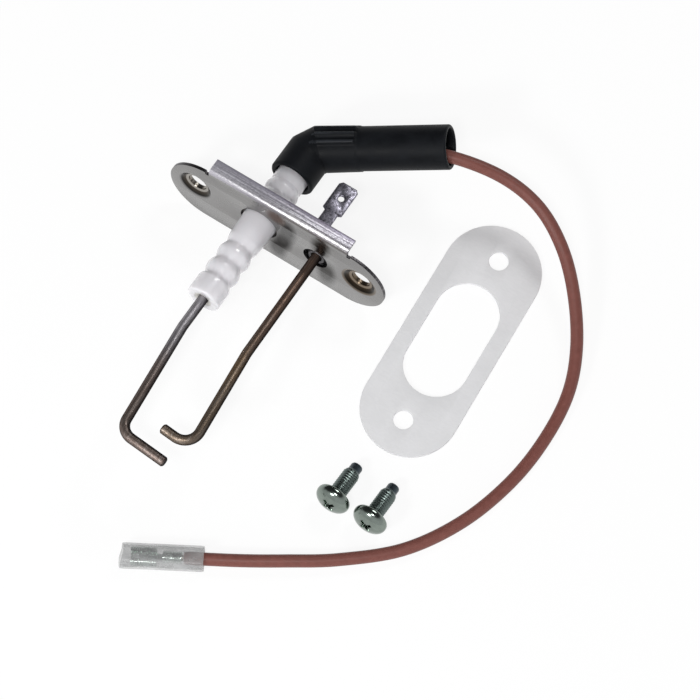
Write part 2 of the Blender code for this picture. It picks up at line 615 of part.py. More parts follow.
floor_x = -CRIMP_RADIUS + 0.0001
# floor of the receptacle with both edges rolled inward, drawn across (x up, y across)
outer_roll = arc(floor_x + curl, half_box - curl, curl, 180.0, 0.0, 9)
inner_roll = arc(floor_x + curl, half_box - curl, curl - skin, 0.0, 180.0, 9)
roll = [(x, y) for x, y in outer_roll] + [(floor_x + rise - 0.0006, half_box - curl - 0.0003),
                                          (floor_x + rise - 0.0006 - skin, half_box - curl - 0.0003)] + inner_roll
section = roll + [(x, -y) for x, y in reversed(roll)]
box_place = TAIL @ Matrix.Translation((0.0, 0.0, box_from))
join(receptacle, add("receptacle_box", flat([section], RECEPTACLE_BOX), box_place))
strip = block((floor_x, -0.0011, tail_barrel - 0.0030), (floor_x + skin, 0.0011, box_from + 0.0010))
join(receptacle, add("receptacle_neck", strip, TAIL))

sleeve_from = -SLEEVE_LAP


def oval(height, width):
    corner = min(height, width) * 0.44
    x, y = height / 2 - corner, width / 2 - corner
    return (arc(x, y, corner, 0.0, 90.0, 7) + arc(-x, y, corner, 90.0, 180.0, 7)
            + arc(-x, -y, corner, 180.0, 270.0, 7) + arc(x, -y, corner, 270.0, 360.0, 7))


inside_height, inside_width = SLEEVE_HEIGHT - 2 * SLEEVE_WALL, SLEEVE_WIDTH - 2 * SLEEVE_WALL
sleeve = flat([oval(SLEEVE_HEIGHT, SLEEVE_WIDTH), oval(inside_height, inside_width)], SLEEVE_LENGTH)
add("clear_sleeve", sleeve, TAIL @ Matrix.Translation((0.0, 0.0, sleeve_from)), CLEAR)

# gasket
LAID = Matrix.Translation((*GASKET_PLACE, 0.0)) @ Matrix.Rotation(radians(GASKET_TURN), 4, "Z")
gasket = flat([stadium(GASKET_LENGTH, GASKET_WIDTH), stadium(SLOT_LENGTH, SLOT_WIDTH),
               circle(half_pitch, 0.0, GASKET_HOLE_RADIUS),
               circle(-half_pitch, 0.0, GASKET_HOLE_RADIUS)], GASKET_THICK)
add("gasket", gasket, LAID, FIBRE)

# screws: turned blank with thread rings and pilot point, cross recess in the head, lying on head rim and point
shank = THREAD_PITCH * (THREAD_TURNS + 1)
reach = shank + POINT_LENGTH
lean = atan2(HEAD_RADIUS - POINT_RADIUS, reach)
thread = []
for k in range(THREAD_TURNS):
    top = -0.0004 - k * THREAD_PITCH
    thread += [(THREAD_RADIUS - 0.00035, top), (THREAD_RADIUS, top - THREAD_PITCH * 0.45),
               (THREAD_RADIUS, top - THREAD_PITCH * 0.60)]
blank = ([(0.0, HEAD_HEIGHT), (HEAD_RADIUS * 0.32, HEAD_HEIGHT - 0.00015),
          (HEAD_RADIUS * 0.60, HEAD_HEIGHT - 0.0007), (HEAD_RADIUS * 0.84, HEAD_HEIGHT - 0.0017),
          (HEAD_RADIUS * 0.96, HEAD_HEIGHT - 0.0027),
          (HEAD_RADIUS, 0.0006), (HEAD_RADIUS, 0.0),
          (THREAD_RADIUS - 0.00035, 0.0)] + thread
         + [(THREAD_RADIUS - 0.00035, -shank + 0.0003), (POINT_RADIUS, -shank), (POINT_RADIUS, -reach + 0.0005),
            (POINT_RADIUS - 0.0005, -reach), (0.0, -reach)])
for number, (x, y) in enumerate(SCREW_HEADS, 1):
    heading = radians(SCREW_TURN)
    tip = Vector((cos(heading) * cos(lean), sin(heading) * cos(lean), -sin(lean)))
    lying = aligned((x, y, HEAD_RADIUS * cos(lean)), (0.0, 0.0, 1.0), -tip)
    screw = add(f"screw_{number}", turned(blank, 20), lying, ZINC)
    for turn_by in (0.0, 90.0):
        slot = block((-0.0024, -0.0005, HEAD_HEIGHT - 0.0019), (0.0024, 0.0005, HEAD_HEIGHT + 0.001))
        cut(screw, add("cross_slot", slot, lying @ Matrix.Rotation(radians(turn_by + 45.0), 4, "Z")))

# the whole layout is moved so that its bottom centre, lead and far end left out, is the origin
bpy.context.view_layer.update()
graph = bpy.context.evaluated_depsgraph_get()
corners = []
for item in parts.objects:
    if item.name in ("lead", "lead_core_far", "receptacle", "clear_sleeve"):
        continue
    done = item.evaluated_get(graph)
    shape = done.to_mesh()
    corners += [item.matrix_world @ v.co for v in shape.vertices]
    done.to_mesh_clear()
low = Vector([min(c[k] for c in corners) for k in range(3)])
high = Vector([max(c[k] for c in corners) for k in range(3)])
move = Matrix.Translation((-(low.x + high.x) / 2, -(low.y + high.y) / 2, -low.z))
for item in list(parts.objects) + list(tools.objects):
    item.matrix_world = move @ item.matrix_world
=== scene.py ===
import json
from math import asin, atan2, cos, degrees, exp, pi, radians, sin, sqrt, tan

import bmesh
import bpy
from bpy.props import FloatProperty, FloatVectorProperty, PointerProperty
from mathutils import Matrix, Vector


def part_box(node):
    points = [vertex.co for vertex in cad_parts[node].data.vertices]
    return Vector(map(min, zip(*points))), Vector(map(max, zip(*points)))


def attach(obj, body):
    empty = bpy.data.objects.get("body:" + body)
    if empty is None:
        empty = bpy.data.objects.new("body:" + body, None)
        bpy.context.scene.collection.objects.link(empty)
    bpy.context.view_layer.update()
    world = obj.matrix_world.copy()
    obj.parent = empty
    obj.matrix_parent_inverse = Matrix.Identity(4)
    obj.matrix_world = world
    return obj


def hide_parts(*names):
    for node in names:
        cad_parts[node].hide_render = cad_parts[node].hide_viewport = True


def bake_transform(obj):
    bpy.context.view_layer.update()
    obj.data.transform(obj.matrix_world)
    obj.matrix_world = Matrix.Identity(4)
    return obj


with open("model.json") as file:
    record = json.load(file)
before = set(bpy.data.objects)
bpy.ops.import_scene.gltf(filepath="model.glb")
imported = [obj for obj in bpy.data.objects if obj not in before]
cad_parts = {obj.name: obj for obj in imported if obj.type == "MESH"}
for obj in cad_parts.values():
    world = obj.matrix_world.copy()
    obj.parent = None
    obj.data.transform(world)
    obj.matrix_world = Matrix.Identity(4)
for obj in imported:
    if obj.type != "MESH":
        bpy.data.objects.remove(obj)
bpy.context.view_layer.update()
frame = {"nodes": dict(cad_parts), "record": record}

bl_info = {
    "name": "Ignition electrode kit",
    "version": (1, 0, 0),
    "blender": (4, 5, 0),
    "location": "View3D > Sidebar > Electrode",
    "description": "Dresses a burner ignition electrode with its boot, lead, gasket and screws",
    "category": "Object",
}

mounts = {mount["name"]: mount for mount in frame["record"]["mounts"]}

# the electrode's own frame: x along the flange, y across it, z out of the burner side
NOSE = Vector(mounts["burner_face"]["axis"]).normalized()
UPPER = Vector(mounts["earth_tab_face"]["axis"]).normalized()
ALONG = UPPER.cross(NOSE)
FACE_MARK = 0.0048          # where the burner face's mark lies along the flange
PLATE = Matrix((ALONG, UPPER, NOSE)).transposed().to_4x4()
PLATE.translation = Vector(mounts["burner_face"]["pos_m"]) - ALONG * FACE_MARK

# the lead's route is written in the layout's own place, which the gasket marks
LAYOUT_GASKET = Vector((0.0290, 0.0028, 0.0))
gasket_low, gasket_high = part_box("gasket")
LAYOUT = (gasket_low + gasket_high) / 2 - LAYOUT_GASKET
LAYOUT.z = 0.0

# stage
FLOOR_HALF, FLOOR_SINK = 1.6, 0.00005
FLOOR_GLOW, GLOW_SHARE = 1.02, 0.86     # the floor's own white, and how much of it the camera sees
# white walls and a dark opening above and behind, as in a photo tent
TENT_STRENGTH, TENT_AXIS = 0.85, (0.0, 0.42, 0.91)
TENT_TONES = ((0.0, 0.95), (0.22, 0.85), (0.41, 0.62), (0.53, 0.08), (1.0, 0.04))
# name, place, width, and the setting that gives the power with its share
PANELS = (("front", (-0.12, -0.36, 0.88), 0.17, "front_power", 1.0),
          ("key", (-0.46, -0.46, 0.53), 0.17, "key_power", 1.0),
          ("side", (0.38, 0.46, 0.66), 0.30, "front_power", 0.62))
PANEL_HEIGHT = 0.7          # of the width

# flange
SHEET, SHEET_EDGE = 0.0010, 0.00016
HOLE_PITCH = 0.0552
FLANGE_WIDTH, FLANGE_DROP = 0.0244, 0.0013
LOBE_REACH = 0.0084
LIP_FROM, LIP_TO = -0.0234, 0.0226
LIP_DEPTH = 0.0046
BEND_RADIUS = 0.0016
RELIEF_WIDTH, RELIEF_DEPTH = 0.0011, 0.0008
DISH_RADIUS, DISH_DEPTH, SCREW_HOLE = 0.0051, 0.0011, 0.0029
DISH_MOUTH, DISH_BOSS = DISH_RADIUS + 0.0008, DISH_RADIUS + 0.0014
CERAMIC_X, CERAMIC_HOLE = -0.0060, 0.0061
EARTH_X, EARTH_Y, EARTH_HOLE = 0.0131, -0.0010, 0.0040
CERAMIC_PLACE = PLATE @ Matrix.Translation((CERAMIC_X, 0.0, 0.0))
EARTH_PLACE = PLATE @ Matrix.Translation((EARTH_X, EARTH_Y, 0.0))
# dark marks on the face, mostly painted reflections of dark surroundings, one a brown heat tint: place,
# shrink across the sheet, colour and share
PAINTED_DARK_REFLECTION = (0.012, 0.010, 0.009)
REFLECTION_AND_HEAT_MARKS = ((0.0032, 0.0042, 0.50, PAINTED_DARK_REFLECTION, 0.95), (0.0022, -0.0022, 0.60, PAINTED_DARK_REFLECTION, 0.95),
              (0.0008, -0.0080, 0.60, PAINTED_DARK_REFLECTION, 0.95), (-0.0008, 0.0092, 0.90, (0.15, 0.095, 0.070), 0.75),
              (0.0142, 0.0064, 0.60, (0.030, 0.026, 0.021), 0.92),
              (0.0172, -0.0058, 0.45, (0.040, 0.038, 0.035), 0.90))
MARK_CORE, MARK_REACH = 0.0016, 0.0038
TOP_EDGE = FLANGE_WIDTH / 2 - FLANGE_DROP
FOLD = TOP_EDGE + 0.0005
MARGIN = 0.0004             # flat strip between the fold and the wide face

# ceramic
NOSE_END, NOSE_RADIUS, NOSE_CORNER = 0.0292, 0.0051, 0.0007
SHOULDER = 0.0020           # length over which the nose runs out into the first valley
WAIST_Z, WAIST_RADIUS, CONE_END = 0.0103, 0.0043, 0.0050
RIBS, RIB_PITCH, RIB_CREST = 2, 0.00565, 0.0051
RIB_FULLNESS = 0.62
BASE_RADIUS = 0.0054
COLLAR_FRONT, COLLAR_BACK, COLLAR_RADIUS, COLLAR_CORNER = -0.0022, -0.0048, 0.0075, 0.0004
REAR_RIBS, REAR_COUNT, REAR_PITCH, REAR_CREST = -0.0060, 2, 0.0040, 0.0053
REAR_NECK, REAR_CORNER, CERAMIC_REAR = 0.0049, 0.0005, -0.0232
ROD_HOLE, SEAL_POCKET, SEAL_DEPTH = 0.0018, 0.0027, 0.0025

# rods
ROD_RADIUS = 0.0015
SPARK_ROUTE = ((0.0, 0.0, -0.0262), (0.0, 0.0, 0.0394), (0.0031, 0.0, 0.0750), (0.0186, 0.0, 0.0761))
EARTH_ROUTE = ((0.0, 0.0, -0.0046), (0.0, 0.0, 0.0357), (0.0027, 0.0, 0.0683), (-0.0070, 0.0, 0.0676))
KINK_BEND, CORNER_BEND = 0.0150, 0.0046
PAINTED_LIGHT_SIDE = (-0.30, -0.28, 0.91)     # side that is painted lighter on the rods as painted light; elsewhere they are painted dark as painted shade

# earth terminal
TAB_SHEET, TAB_WIDTH, TAB_NECK = 0.0008, 0.0063, 0.0043
TAB_X, TAB_Y = 0.0106, 0.0055
TAB_ROOT, TAB_TIP, TAB_HOLE = -0.0121, -0.0220, 0.0009
FOOT_TOP, FOOT_REACH = -0.0013, 0.0047
TAB_EDGE, FOOT_EDGE = 0.00034, 0.00012
BUSH_RADIUS, BUSH_HEAD = 0.0027, 0.0043
PAINTED_SHADE_CORE, PAINTED_SHADE_EDGE = 0.0040, 0.0046   # painted shade: black on the tab round the earth rod, under the bush's head

# boot
LEG_RIM, ELBOW_Z = -0.0172, -0.0289
ELBOW = Vector((0.0, 0.0, ELBOW_Z))
ARM = Vector((0.8596, 0.3320, -0.3884)).normalized()
ARM_LENGTH = 0.0412
LEG_RADIUS, ARM_RADIUS, BORE = 0.0069, 0.0065, 0.0053
CORNER_CUT = 0.0023
GRIP_ANGLES = (-111.0, -90.0, -69.0, 69.0, 90.0, 111.0)
GRIP_FROM, GRIP_TO, GRIP_STEP = 0.0008, 0.0146, 0.0147
GRIP_WIDTH, GRIP_RISE, GRIP_RUN = 0.0012, 0.0008, 0.0006

# lead, sleeve and receptacle
LEAD_RADIUS = 0.00185
LEAD_START, LEAD_DROP = 0.0135, 0.0028
LEAD_ROUTE = (
    (0.0431, 0.0463, 0.0174), (0.0536, 0.0385, 0.0144), (0.0602, 0.0277, 0.0110),
    (0.0636, 0.0149, 0.0077), (0.0644, 0.0000, 0.0046), (0.0618, -0.0137, 0.0027),
    (0.0548, -0.0272, 0.0019), (0.0448, -0.0398, 0.0019), (0.0312, -0.0511, 0.0019),
    (0.0150, -0.0589, 0.0019), (-0.0030, -0.0619, 0.0022), (-0.0180, -0.0624, 0.0027),
    (-0.0310, -0.0623, 0.0027),
)
LEAD_END = (-0.0460, -0.0616, 0.0027)
SLEEVE_LENGTH, SLEEVE_LAP = 0.0228, 0.0055
SLEEVE_WIDTH, SLEEVE_HEIGHT, SLEEVE_WALL = 0.0073, 0.0054, 0.00055
BARREL_START, BARREL_END, BARREL_RADIUS, CORE_RADIUS = 0.0006, 0.0059, 0.0017, 0.0008
BARREL_PINCH = 0.00022
BOX_LENGTH, BOX_WIDTH, BOX_HEIGHT, BOX_SHEET = 0.0072, 0.0054, 0.0026, 0.0004
BOX_NECK, NECK_HALF = 0.0018, 0.0011

# gasket
GASKET_LENGTH, GASKET_WIDTH, GASKET_THICK, GASKET_EDGE = 0.0760, 0.0289, 0.0010, 0.00014
SLOT_LENGTH, SLOT_WIDTH, GASKET_HOLE = 0.0366, 0.0190, 0.00285
GASKET_TURN = 59.7

# screws
HEAD_RADIUS, HEAD_HEIGHT, HEAD_RIM = 0.0052, 0.0036, 0.0007
THREAD_RADIUS, THREAD_PITCH, THREAD_DEPTH = 0.0025, 0.0008, 0.00026
SHANK, POINT_RADIUS, POINT_LENGTH = 0.0096, 0.0018, 0.0025
SCREW_HEADS = ((-0.0043, -0.0446), (0.0060, -0.0505))
SCREW_TURN = 56.5
# bars of the cross recess: turn, reach at the top and the bottom, half width and depth
RECESS = ((45.0, 0.0028, 0.0010, 0.00058, 0.0017), (135.0, 0.0028, 0.0010, 0.00058, 0.0017),
          (0.0, 0.0021, 0.0012, 0.00016, 0.0004), (90.0, 0.0021, 0.0012, 0.00016, 0.0004))


# shapes

def new_mesh(name, verts, faces):
    mesh = bpy.data.meshes.new(name)
    mesh.from_pydata(verts, [], faces)
    return mesh


def clean(mesh, sharp=35.0, weld=1e-7):
    """Weld, face outward and shade: smooth everywhere except along edges sharper than the angle."""
    work = bmesh.new()
    work.from_mesh(mesh)
    bmesh.ops.remove_doubles(work, verts=work.verts, dist=weld)
    bmesh.ops.dissolve_degenerate(work, edges=work.edges, dist=weld)
    bmesh.ops.recalc_face_normals(work, faces=work.faces)
    for face in work.faces:
        face.smooth = True
    for edge in work.edges:
        edge.smooth = len(edge.link_faces) == 2 and edge.calc_face_angle(0.0) < radians(sharp)
    work.to_mesh(mesh)
    work.free()
    return mesh


def show(item):
    bpy.context.scene.collection.objects.link(item)
    return item


def settled(source):
    """The mesh of a curve or of an object with its modifiers."""
    show(source)
    bpy.context.view_layer.update()
    graph = bpy.context.evaluated_depsgraph_get()
    mesh = bpy.data.meshes.new_from_object(source.evaluated_get(graph))
    bpy.data.objects.remove(source, do_unlink=True)
    return mesh


def lofted(rings, cyclic=False, caps=True):
    """Skin a list of rings that have the same number of points."""
    count = len(rings[0])
    verts = [tuple(point) for ring in rings for point in ring]
    faces = []
    pairs = len(rings) if cyclic else len(rings) - 1
    for k in range(pairs):
        here, there = k * count, ((k + 1) % len(rings)) * count
        for i in range(count):
            j = (i + 1) % count
            faces.append((here + i, here + j, there + j, there + i))
    if caps and not cyclic:
        faces.append(tuple(range(count))[::-1])
        faces.append(tuple(range((len(rings) - 1) * count, len(rings) * count)))
    return new_mesh("loft", verts, faces)


def hoop(radius, z, count):
    """A level ring of points about z."""
    angles = [2 * pi * k / count for k in range(count)]
    return [(radius * cos(angle), radius * sin(angle), z) for angle in angles]


def turned(profile, steps):
    """Turn a closed profile of (radius, z) about z."""
    return lofted([hoop(radius, z, steps) for radius, z in profile], cyclic=True)


def arc(cx, cy, radius, start, stop, count):
    angles = [radians(start + (stop - start) * k / (count - 1)) for k in range(count)]
    return [(cx + radius * cos(angle), cy + radius * sin(angle)) for angle in angles]


def circle(cx, cy, radius, count=48):
    return arc(cx, cy, radius, 0.0, 360.0 - 360.0 / count, count)


def stadium(length, width, count=33):
    reach = (length - width) / 2
    return arc(reach, 0.0, width / 2, -90.0, 90.0, count) + arc(-reach, 0.0, width / 2, 90.0, 270.0, count)


def cut_sheet(outlines, thickness=0.0, edge=0.0):
    """A sheet in x and y from z = 0 upward, with rounded edges; outlines after the first are holes."""
    curve = bpy.data.curves.new("sheet", "CURVE")
    curve.dimensions = "2D"
    curve.fill_mode = "BOTH"
    curve.extrude = max(thickness / 2 - edge, 0.0)
    curve.bevel_depth = edge
    curve.bevel_resolution = 2
    curve.offset = -edge
    for outline in outlines:
        spline = curve.splines.new("POLY")
        spline.points.add(len(outline) - 1)
        for point, (x, y) in zip(spline.points, outline):
            point.co = (x, y, 0.0, 1.0)
        spline.use_cyclic_u = True
    mesh = settled(bpy.data.objects.new("sheet", curve))
    mesh.transform(Matrix.Translation((0.0, 0.0, thickness / 2)))
    mesh.materials.clear()
    return mesh


def strip(points, low, high):
    """An upright wall along a line of points."""
    verts = [(x, y, z) for x, y in points for z in (low, high)]
    return new_mesh("wall", verts, [(2 * k, 2 * k + 2, 2 * k + 3, 2 * k + 1) for k in range(len(points) - 1)])


def block(low, high):
    work = bmesh.new()
    bmesh.ops.create_cube(work, size=1.0)
    bmesh.ops.scale(work, vec=Vector(high) - Vector(low), verts=work.verts)
    bmesh.ops.translate(work, vec=(Vector(high) + Vector(low)) / 2, verts=work.verts)
    mesh = bpy.data.meshes.new("block")
    work.to_mesh(mesh)
    work.free()
    return mesh


def rounded(points, radii, count=14):
    """Replace the inner corners of a path by arcs."""
    path = [Vector(p) for p in points]
    made = [path[0]]
    for before, corner, after, radius in zip(path, path[1:], path[2:], radii):
        one, two = (before - corner).normalized(), (after - corner).normalized()
        half = one.angle(two) / 2
        centre = corner + (one + two).normalized() * (radius / sin(half))
        start = corner + one * (radius / tan(half)) - centre
        stop = corner + two * (radius / tan(half)) - centre
        spread = start.angle(stop)
        for k in range(count):
            t = k / (count - 1)
            made.append(centre + (start * sin((1 - t) * spread) + stop * sin(t * spread)) / sin(spread))
    return made + [path[-1]]


def through(points, steps):
    """A smooth curve through all the points."""
    path = [Vector(p) for p in points]
    path = [2 * path[0] - path[1]] + path + [2 * path[-1] - path[-2]]
    made = []
    for p0, p1, p2, p3 in zip(path, path[1:], path[2:], path[3:]):
        for k in range(steps):
            t = k / steps
            made.append(0.5 * (2 * p1 + (p2 - p0) * t + (2 * p0 - 5 * p1 + 4 * p2 - p3) * t * t
                               + (3 * p1 - p0 - 3 * p2 + p3) * t * t * t))
    return made + [path[-2]]


def tube(path, radii, sharp, sides=28):
    """A closed tube that follows a path without twisting."""
    tangents = [(b - a).normalized() for a, b in zip(path, path[1:])]
    middle = [(a + b).normalized() for a, b in zip(tangents, tangents[1:])]
    tangents = [tangents[0]] + middle + [tangents[-1]]
    side = tangents[0].orthogonal().normalized()
    rings = []
    for place, tangent, radius in zip(path, tangents, radii):
        side = (side - tangent * side.dot(tangent)).normalized()
        other = tangent.cross(side)
        rings.append([place + side * x + other * y for x, y, _ in hoop(radius, 0.0, sides)])
    return clean(lofted(rings), sharp)


def bent_wire(route):
    """A rod with a small chamfer at both ends."""
    path = rounded(route, (KINK_BEND, CORNER_BEND))
    chamfer = 0.25 * ROD_RADIUS
    first = path[0] + (path[1] - path[0]).normalized() * chamfer
    last = path[-1] + (path[-2] - path[-1]).normalized() * chamfer
    path = [path[0], first] + path[1:-1] + [last, path[-1]]
    tip = [ROD_RADIUS - chamfer]
    return tube(path, tip + [ROD_RADIUS] * (len(path) - 2) + tip, 30.0)


def joined(meshes):
    """One mesh out of several shells."""
    work = bmesh.new()
    for mesh in meshes:
        work.from_mesh(mesh)
    made = bpy.data.meshes.new("joined")
    work.to_mesh(made)
    work.free()
    return made


def combined(mesh, tools, how):
    """Boolean of a mesh with each tool mesh in turn."""
    base = bpy.data.objects.new("base", mesh)
    helpers = []
    for tool in tools:
        helpers.append(show(bpy.data.objects.new("tool", tool)))
        step = base.modifiers.new("step", "BOOLEAN")
        step.operation = how
        step.solver = "EXACT"
        step.object = helpers[-1]
    made = settled(base)
    for helper in helpers:
        bpy.data.objects.remove(helper, do_unlink=True)
    return made


def aligned(origin, z):
    """A frame at a place with z along a direction and x as far up as that allows."""
    z = Vector(z).normalized()
    y = z.cross(Vector((0.0, 0.0, 1.0))).normalized()
    return Matrix.Translation(origin) @ Matrix((y.cross(z), y, z)).transposed().to_4x4()


def piece(name, mesh, place, body, slot, finish, *nodes):
    """Show a mesh as a piece that rides on a body and stands for CAD nodes."""
    mesh.materials.clear()
    mesh.materials.append(finish)
    made = show(bpy.data.objects.new(name, mesh))
    made.matrix_world = place
    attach(made, body)
    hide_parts(*nodes)


# finishes

def shade(colour, factor):
    return tuple(min(1.0, c * factor) for c in colour)


class Nodes:
    """A shader node tree under construction."""

    def __init__(self, tree):
        self.nodes, self.links = tree.nodes, tree.links

    def plug(self, socket, value):
        """Link another socket, or set a constant."""
        if hasattr(value, "is_linked"):
            self.links.new(value, socket)
        else:
            socket.default_value = (*value, 1.0)[:4] if socket.type == "RGBA" else value

    def node(self, kind, out, inputs, **settings):
        """Add a node, fill its inputs and give one of its outputs."""
        step = self.nodes.new("ShaderNode" + kind)
        for name, value in settings.items():
            setattr(step, name, value)
        for name, value in inputs.items():
            self.plug(step.inputs[name], value)
        return step.outputs[out]

    def maths(self, operation, *terms):
        return self.node("Math", 0, dict(enumerate(terms)), operation=operation)

    def vector(self, operation, out, *terms):
        return self.node("VectorMath", out, dict(enumerate(terms)), operation=operation)

    def ramp(self, source, *stops):
        step = self.nodes.new("ShaderNodeValToRGB")
        marks = step.color_ramp.elements
        while len(marks) < len(stops):
            marks.new(0.5)
        for mark, (place, colour) in zip(marks, stops):
            mark.position = place
            mark.color = (*colour, 1.0)
        self.plug(step.inputs["Fac"], source)
        return step.outputs["Color"]


class Finish(Nodes):
    """A material under construction, patterned in the object's own frame."""

    def __init__(self, name, roughness, metallic=0.0, **values):
        self.made = bpy.data.materials.new(name)
        self.made.use_nodes = True
        super().__init__(self.made.node_tree)
        self.shader = self.nodes["Principled BSDF"]
        self.spots = self.nodes.new("ShaderNodeTexCoord").outputs
        self.set(Roughness=roughness, Metallic=metallic, **values)

    def set(self, **values):
        """Set or link sockets of the shader."""
        for name, value in values.items():
            self.plug(self.shader.inputs[name.replace("_", " ")], value)

    def grain(self, scale, detail, rough, stretch=None, warp=0.0):
        where = self.spots["Object"]
        if stretch:
            where = self.node("Mapping", "Vector", {"Vector": where, "Scale": stretch})
        return self.node("TexNoise", "Fac", {"Vector": where, "Scale": scale, "Detail": detail,
                                             "Roughness": rough, "Distortion": warp})

    def span(self, source, low, high, to_low, to_high):
        return self.node("MapRange", "Result", {"Value": source, "From Min": low, "From Max": high,
                                                "To Min": to_low, "To Max": to_high})

    def between(self, noise, low, high):
        """The usual swing of a noise, brought between two values."""
        return self.span(noise, 0.3, 0.7, low, high)

    def axis(self, letter):
        return self.node("SeparateXYZ", letter, {"Vector": self.spots["Object"]})

    def away(self, x, y, shrink=1.0, mirrored=False):
        """Distance from an upright line at x and y, or from the nearer of two lines at x and -x."""
        where = self.spots["Object"]
        if mirrored:
            where = self.vector("ABSOLUTE", "Vector", where)
        where = self.vector("MULTIPLY_ADD", "Vector", where, (1.0, shrink, 0.0), (-x, -y * shrink, 0.0))
        return self.vector("LENGTH", "Value", where)

    def facing(self, way):
        """How far the surface faces a direction."""
        return self.vector("DOT_PRODUCT", "Value", self.spots["Normal"], way)

    def mix(self, share, one, two, how="MIX"):
        return self.node("Mix", 2, {0: share, 6: one, 7: two}, data_type="RGBA", blend_type=how)

    def stain(self, base, tone, source, start, full, share=1.0, how="MIX"):
        """Lay a tone over a colour where a source goes from start to full."""
        return self.mix(self.span(source, start, full, 0.0, share), base, tone, how)

    def tones(self, source, colour, *stops):
        """Darker and lighter shades of one colour."""
        return self.ramp(source, *((place, shade(colour, factor)) for place, factor in stops))

    def bump(self, source, strength, distance, onto="Normal"):
        """Roughen the surface on top of the bumps that it has."""
        goal = self.shader.inputs[onto]
        inputs = {"Height": source, "Strength": strength, "Distance": distance}
        if goal.is_linked:
            inputs["Normal"] = goal.links[0].from_socket
        self.plug(goal, self.node("Bump", "Normal", inputs))


def rolled_steel(colour):
    """Satin sheet: fine rolling lines, painted dark reflections and a heat tint on the face, painted shade, a
    painted highlight and a stain in the dishes, drawing streaks and painted highlight bands along the lip.
    """
    made = Finish("rolled_steel", 0.24, 1.0)
    lines = made.grain(900.0, 3.0, 0.6, (0.05, 1.0, 1.0))
    clouds = made.grain(110.0, 4.0, 0.6)
    face = made.tones(clouds, colour, (0.30, 0.90), (0.70, 1.05))
    face = made.stain(face, shade(colour, 0.80), lines, 0.35, 0.65, 0.20)
    # painted reflections: dark marks beside the ceramic and the earth rod, with one brown heat tint near the
    # fold
    for x, y, shrink, tone, share in REFLECTION_AND_HEAT_MARKS:
        face = made.stain(face, tone, made.away(x, y, shrink), MARK_REACH, MARK_CORE, share)
    # the dished holes are painted dark down their walls as painted shade, with a painted highlight on the
    # ledge and painted shade down the hole
    depth = made.span(made.axis("Z"), 0.0, -DISH_DEPTH - SHEET, 0.0, 1.0)
    dish = made.ramp(depth, (0.0, colour), (0.06, shade(colour, 0.70)), (0.15, (0.026, 0.025, 0.023)),
                     (0.455, (0.060, 0.050, 0.040)), (0.51, (0.34, 0.32, 0.29)), (0.55, (0.33, 0.31, 0.28)),
                     (0.62, (0.16, 0.14, 0.115)), (1.0, (0.30, 0.28, 0.25)))
    # the dish beside the earth rod is scorched
    dish = made.stain(dish, (0.60, 0.49, 0.38), made.axis("X"), 0.0, 0.001, 0.9, "MULTIPLY")
    holes = made.away(HOLE_PITCH / 2, 0.0, mirrored=True)
    face = made.stain(face, dish, holes, DISH_MOUTH, DISH_RADIUS + 0.0004)
    streaks = made.grain(2600.0, 2.0, 0.5, (0.02, 1.0, 1.0))
    specks = made.grain(3600.0, 2.0, 0.6, (0.35, 1.0, 1.0))
    # across the lip the colour is laid in bands of painted highlight and painted shade: a dark free edge,
    # light bands, a painted white highlight near the fold and a dark line at the fold
    across = made.span(made.axis("Z"), -LIP_DEPTH, 0.0, 0.0, 1.0)
    lip = made.ramp(across, (0.0, (0.15, 0.13, 0.17)), (0.12, (0.30, 0.28, 0.35)), (0.28, (0.66, 0.64, 0.70)),
                    (0.40, (0.38, 0.37, 0.41)), (0.54, (0.86, 0.85, 0.90)), (0.68, (0.52, 0.51, 0.54)),
                    (0.86, (0.95, 0.94, 0.93)), (0.97, (0.16, 0.15, 0.14)))
    lip = made.stain(lip, (0.11, 0.095, 0.125), streaks, 0.47, 0.60, 0.65)
    lip = made.stain(lip, (0.10, 0.085, 0.115), specks, 0.50, 0.64, 0.70)
    # the lip is painted lighter towards its left end as a painted highlight
    lip = made.stain(lip, (0.88, 0.86, 0.97), made.axis("X"), 0.004, LIP_FROM, 0.42)
    on_lip = made.span(made.axis("Y"), FOLD - 0.0001, FOLD + 0.0002, 0.0, 1.0)
    made.set(Base_Color=made.mix(on_lip, face, lip), Metallic=made.span(on_lip, 0.0, 1.0, 1.0, 0.55),
             Roughness=made.mix(on_lip, made.between(clouds, 0.22, 0.32), (0.40, 0.40, 0.40)))
    made.bump(lines, 0.06, 0.00004)
    made.bump(streaks, 0.05, 0.00005)
    return made.made


def cut_edge(colour):
    """Sheared edge of the sheet: dark, with shear marks through its thickness."""
    made = Finish("cut_edge", 0.38, 1.0)
    marks = made.grain(1600.0, 3.0, 0.6, (1.0, 1.0, 0.1))
    made.set(Base_Color=made.tones(marks, colour, (0.35, 0.6), (0.55, 1.0), (0.75, 2.4)))
    made.bump(marks, 0.25, 0.00006)
    return made.made


def glazed_ceramic(colour):
    """White glaze over a body that glows a little, uneven enough to break highlights into dots."""
    made = Finish("glazed_ceramic", 0.30, Coat_Weight=1.0, Coat_Roughness=0.03, Subsurface_Weight=0.75,
                  Subsurface_Scale=0.004, Subsurface_Radius=(1.0, 0.95, 0.95))
    body = made.tones(made.grain(160.0, 3.0, 0.5), colour, (0.30, 0.97), (0.70, 1.0))
    specks = made.grain(1400.0, 2.0, 0.5)
    made.set(Base_Color=made.stain(body, shade(colour, 0.80), specks, 0.72, 0.84, 0.20))
    made.bump(made.grain(900.0, 1.0, 0.4), 0.25, 0.00010)
    made.bump(made.grain(800.0, 0.5, 0.4), 0.90, 0.00013, "Coat Normal")
    return made.made


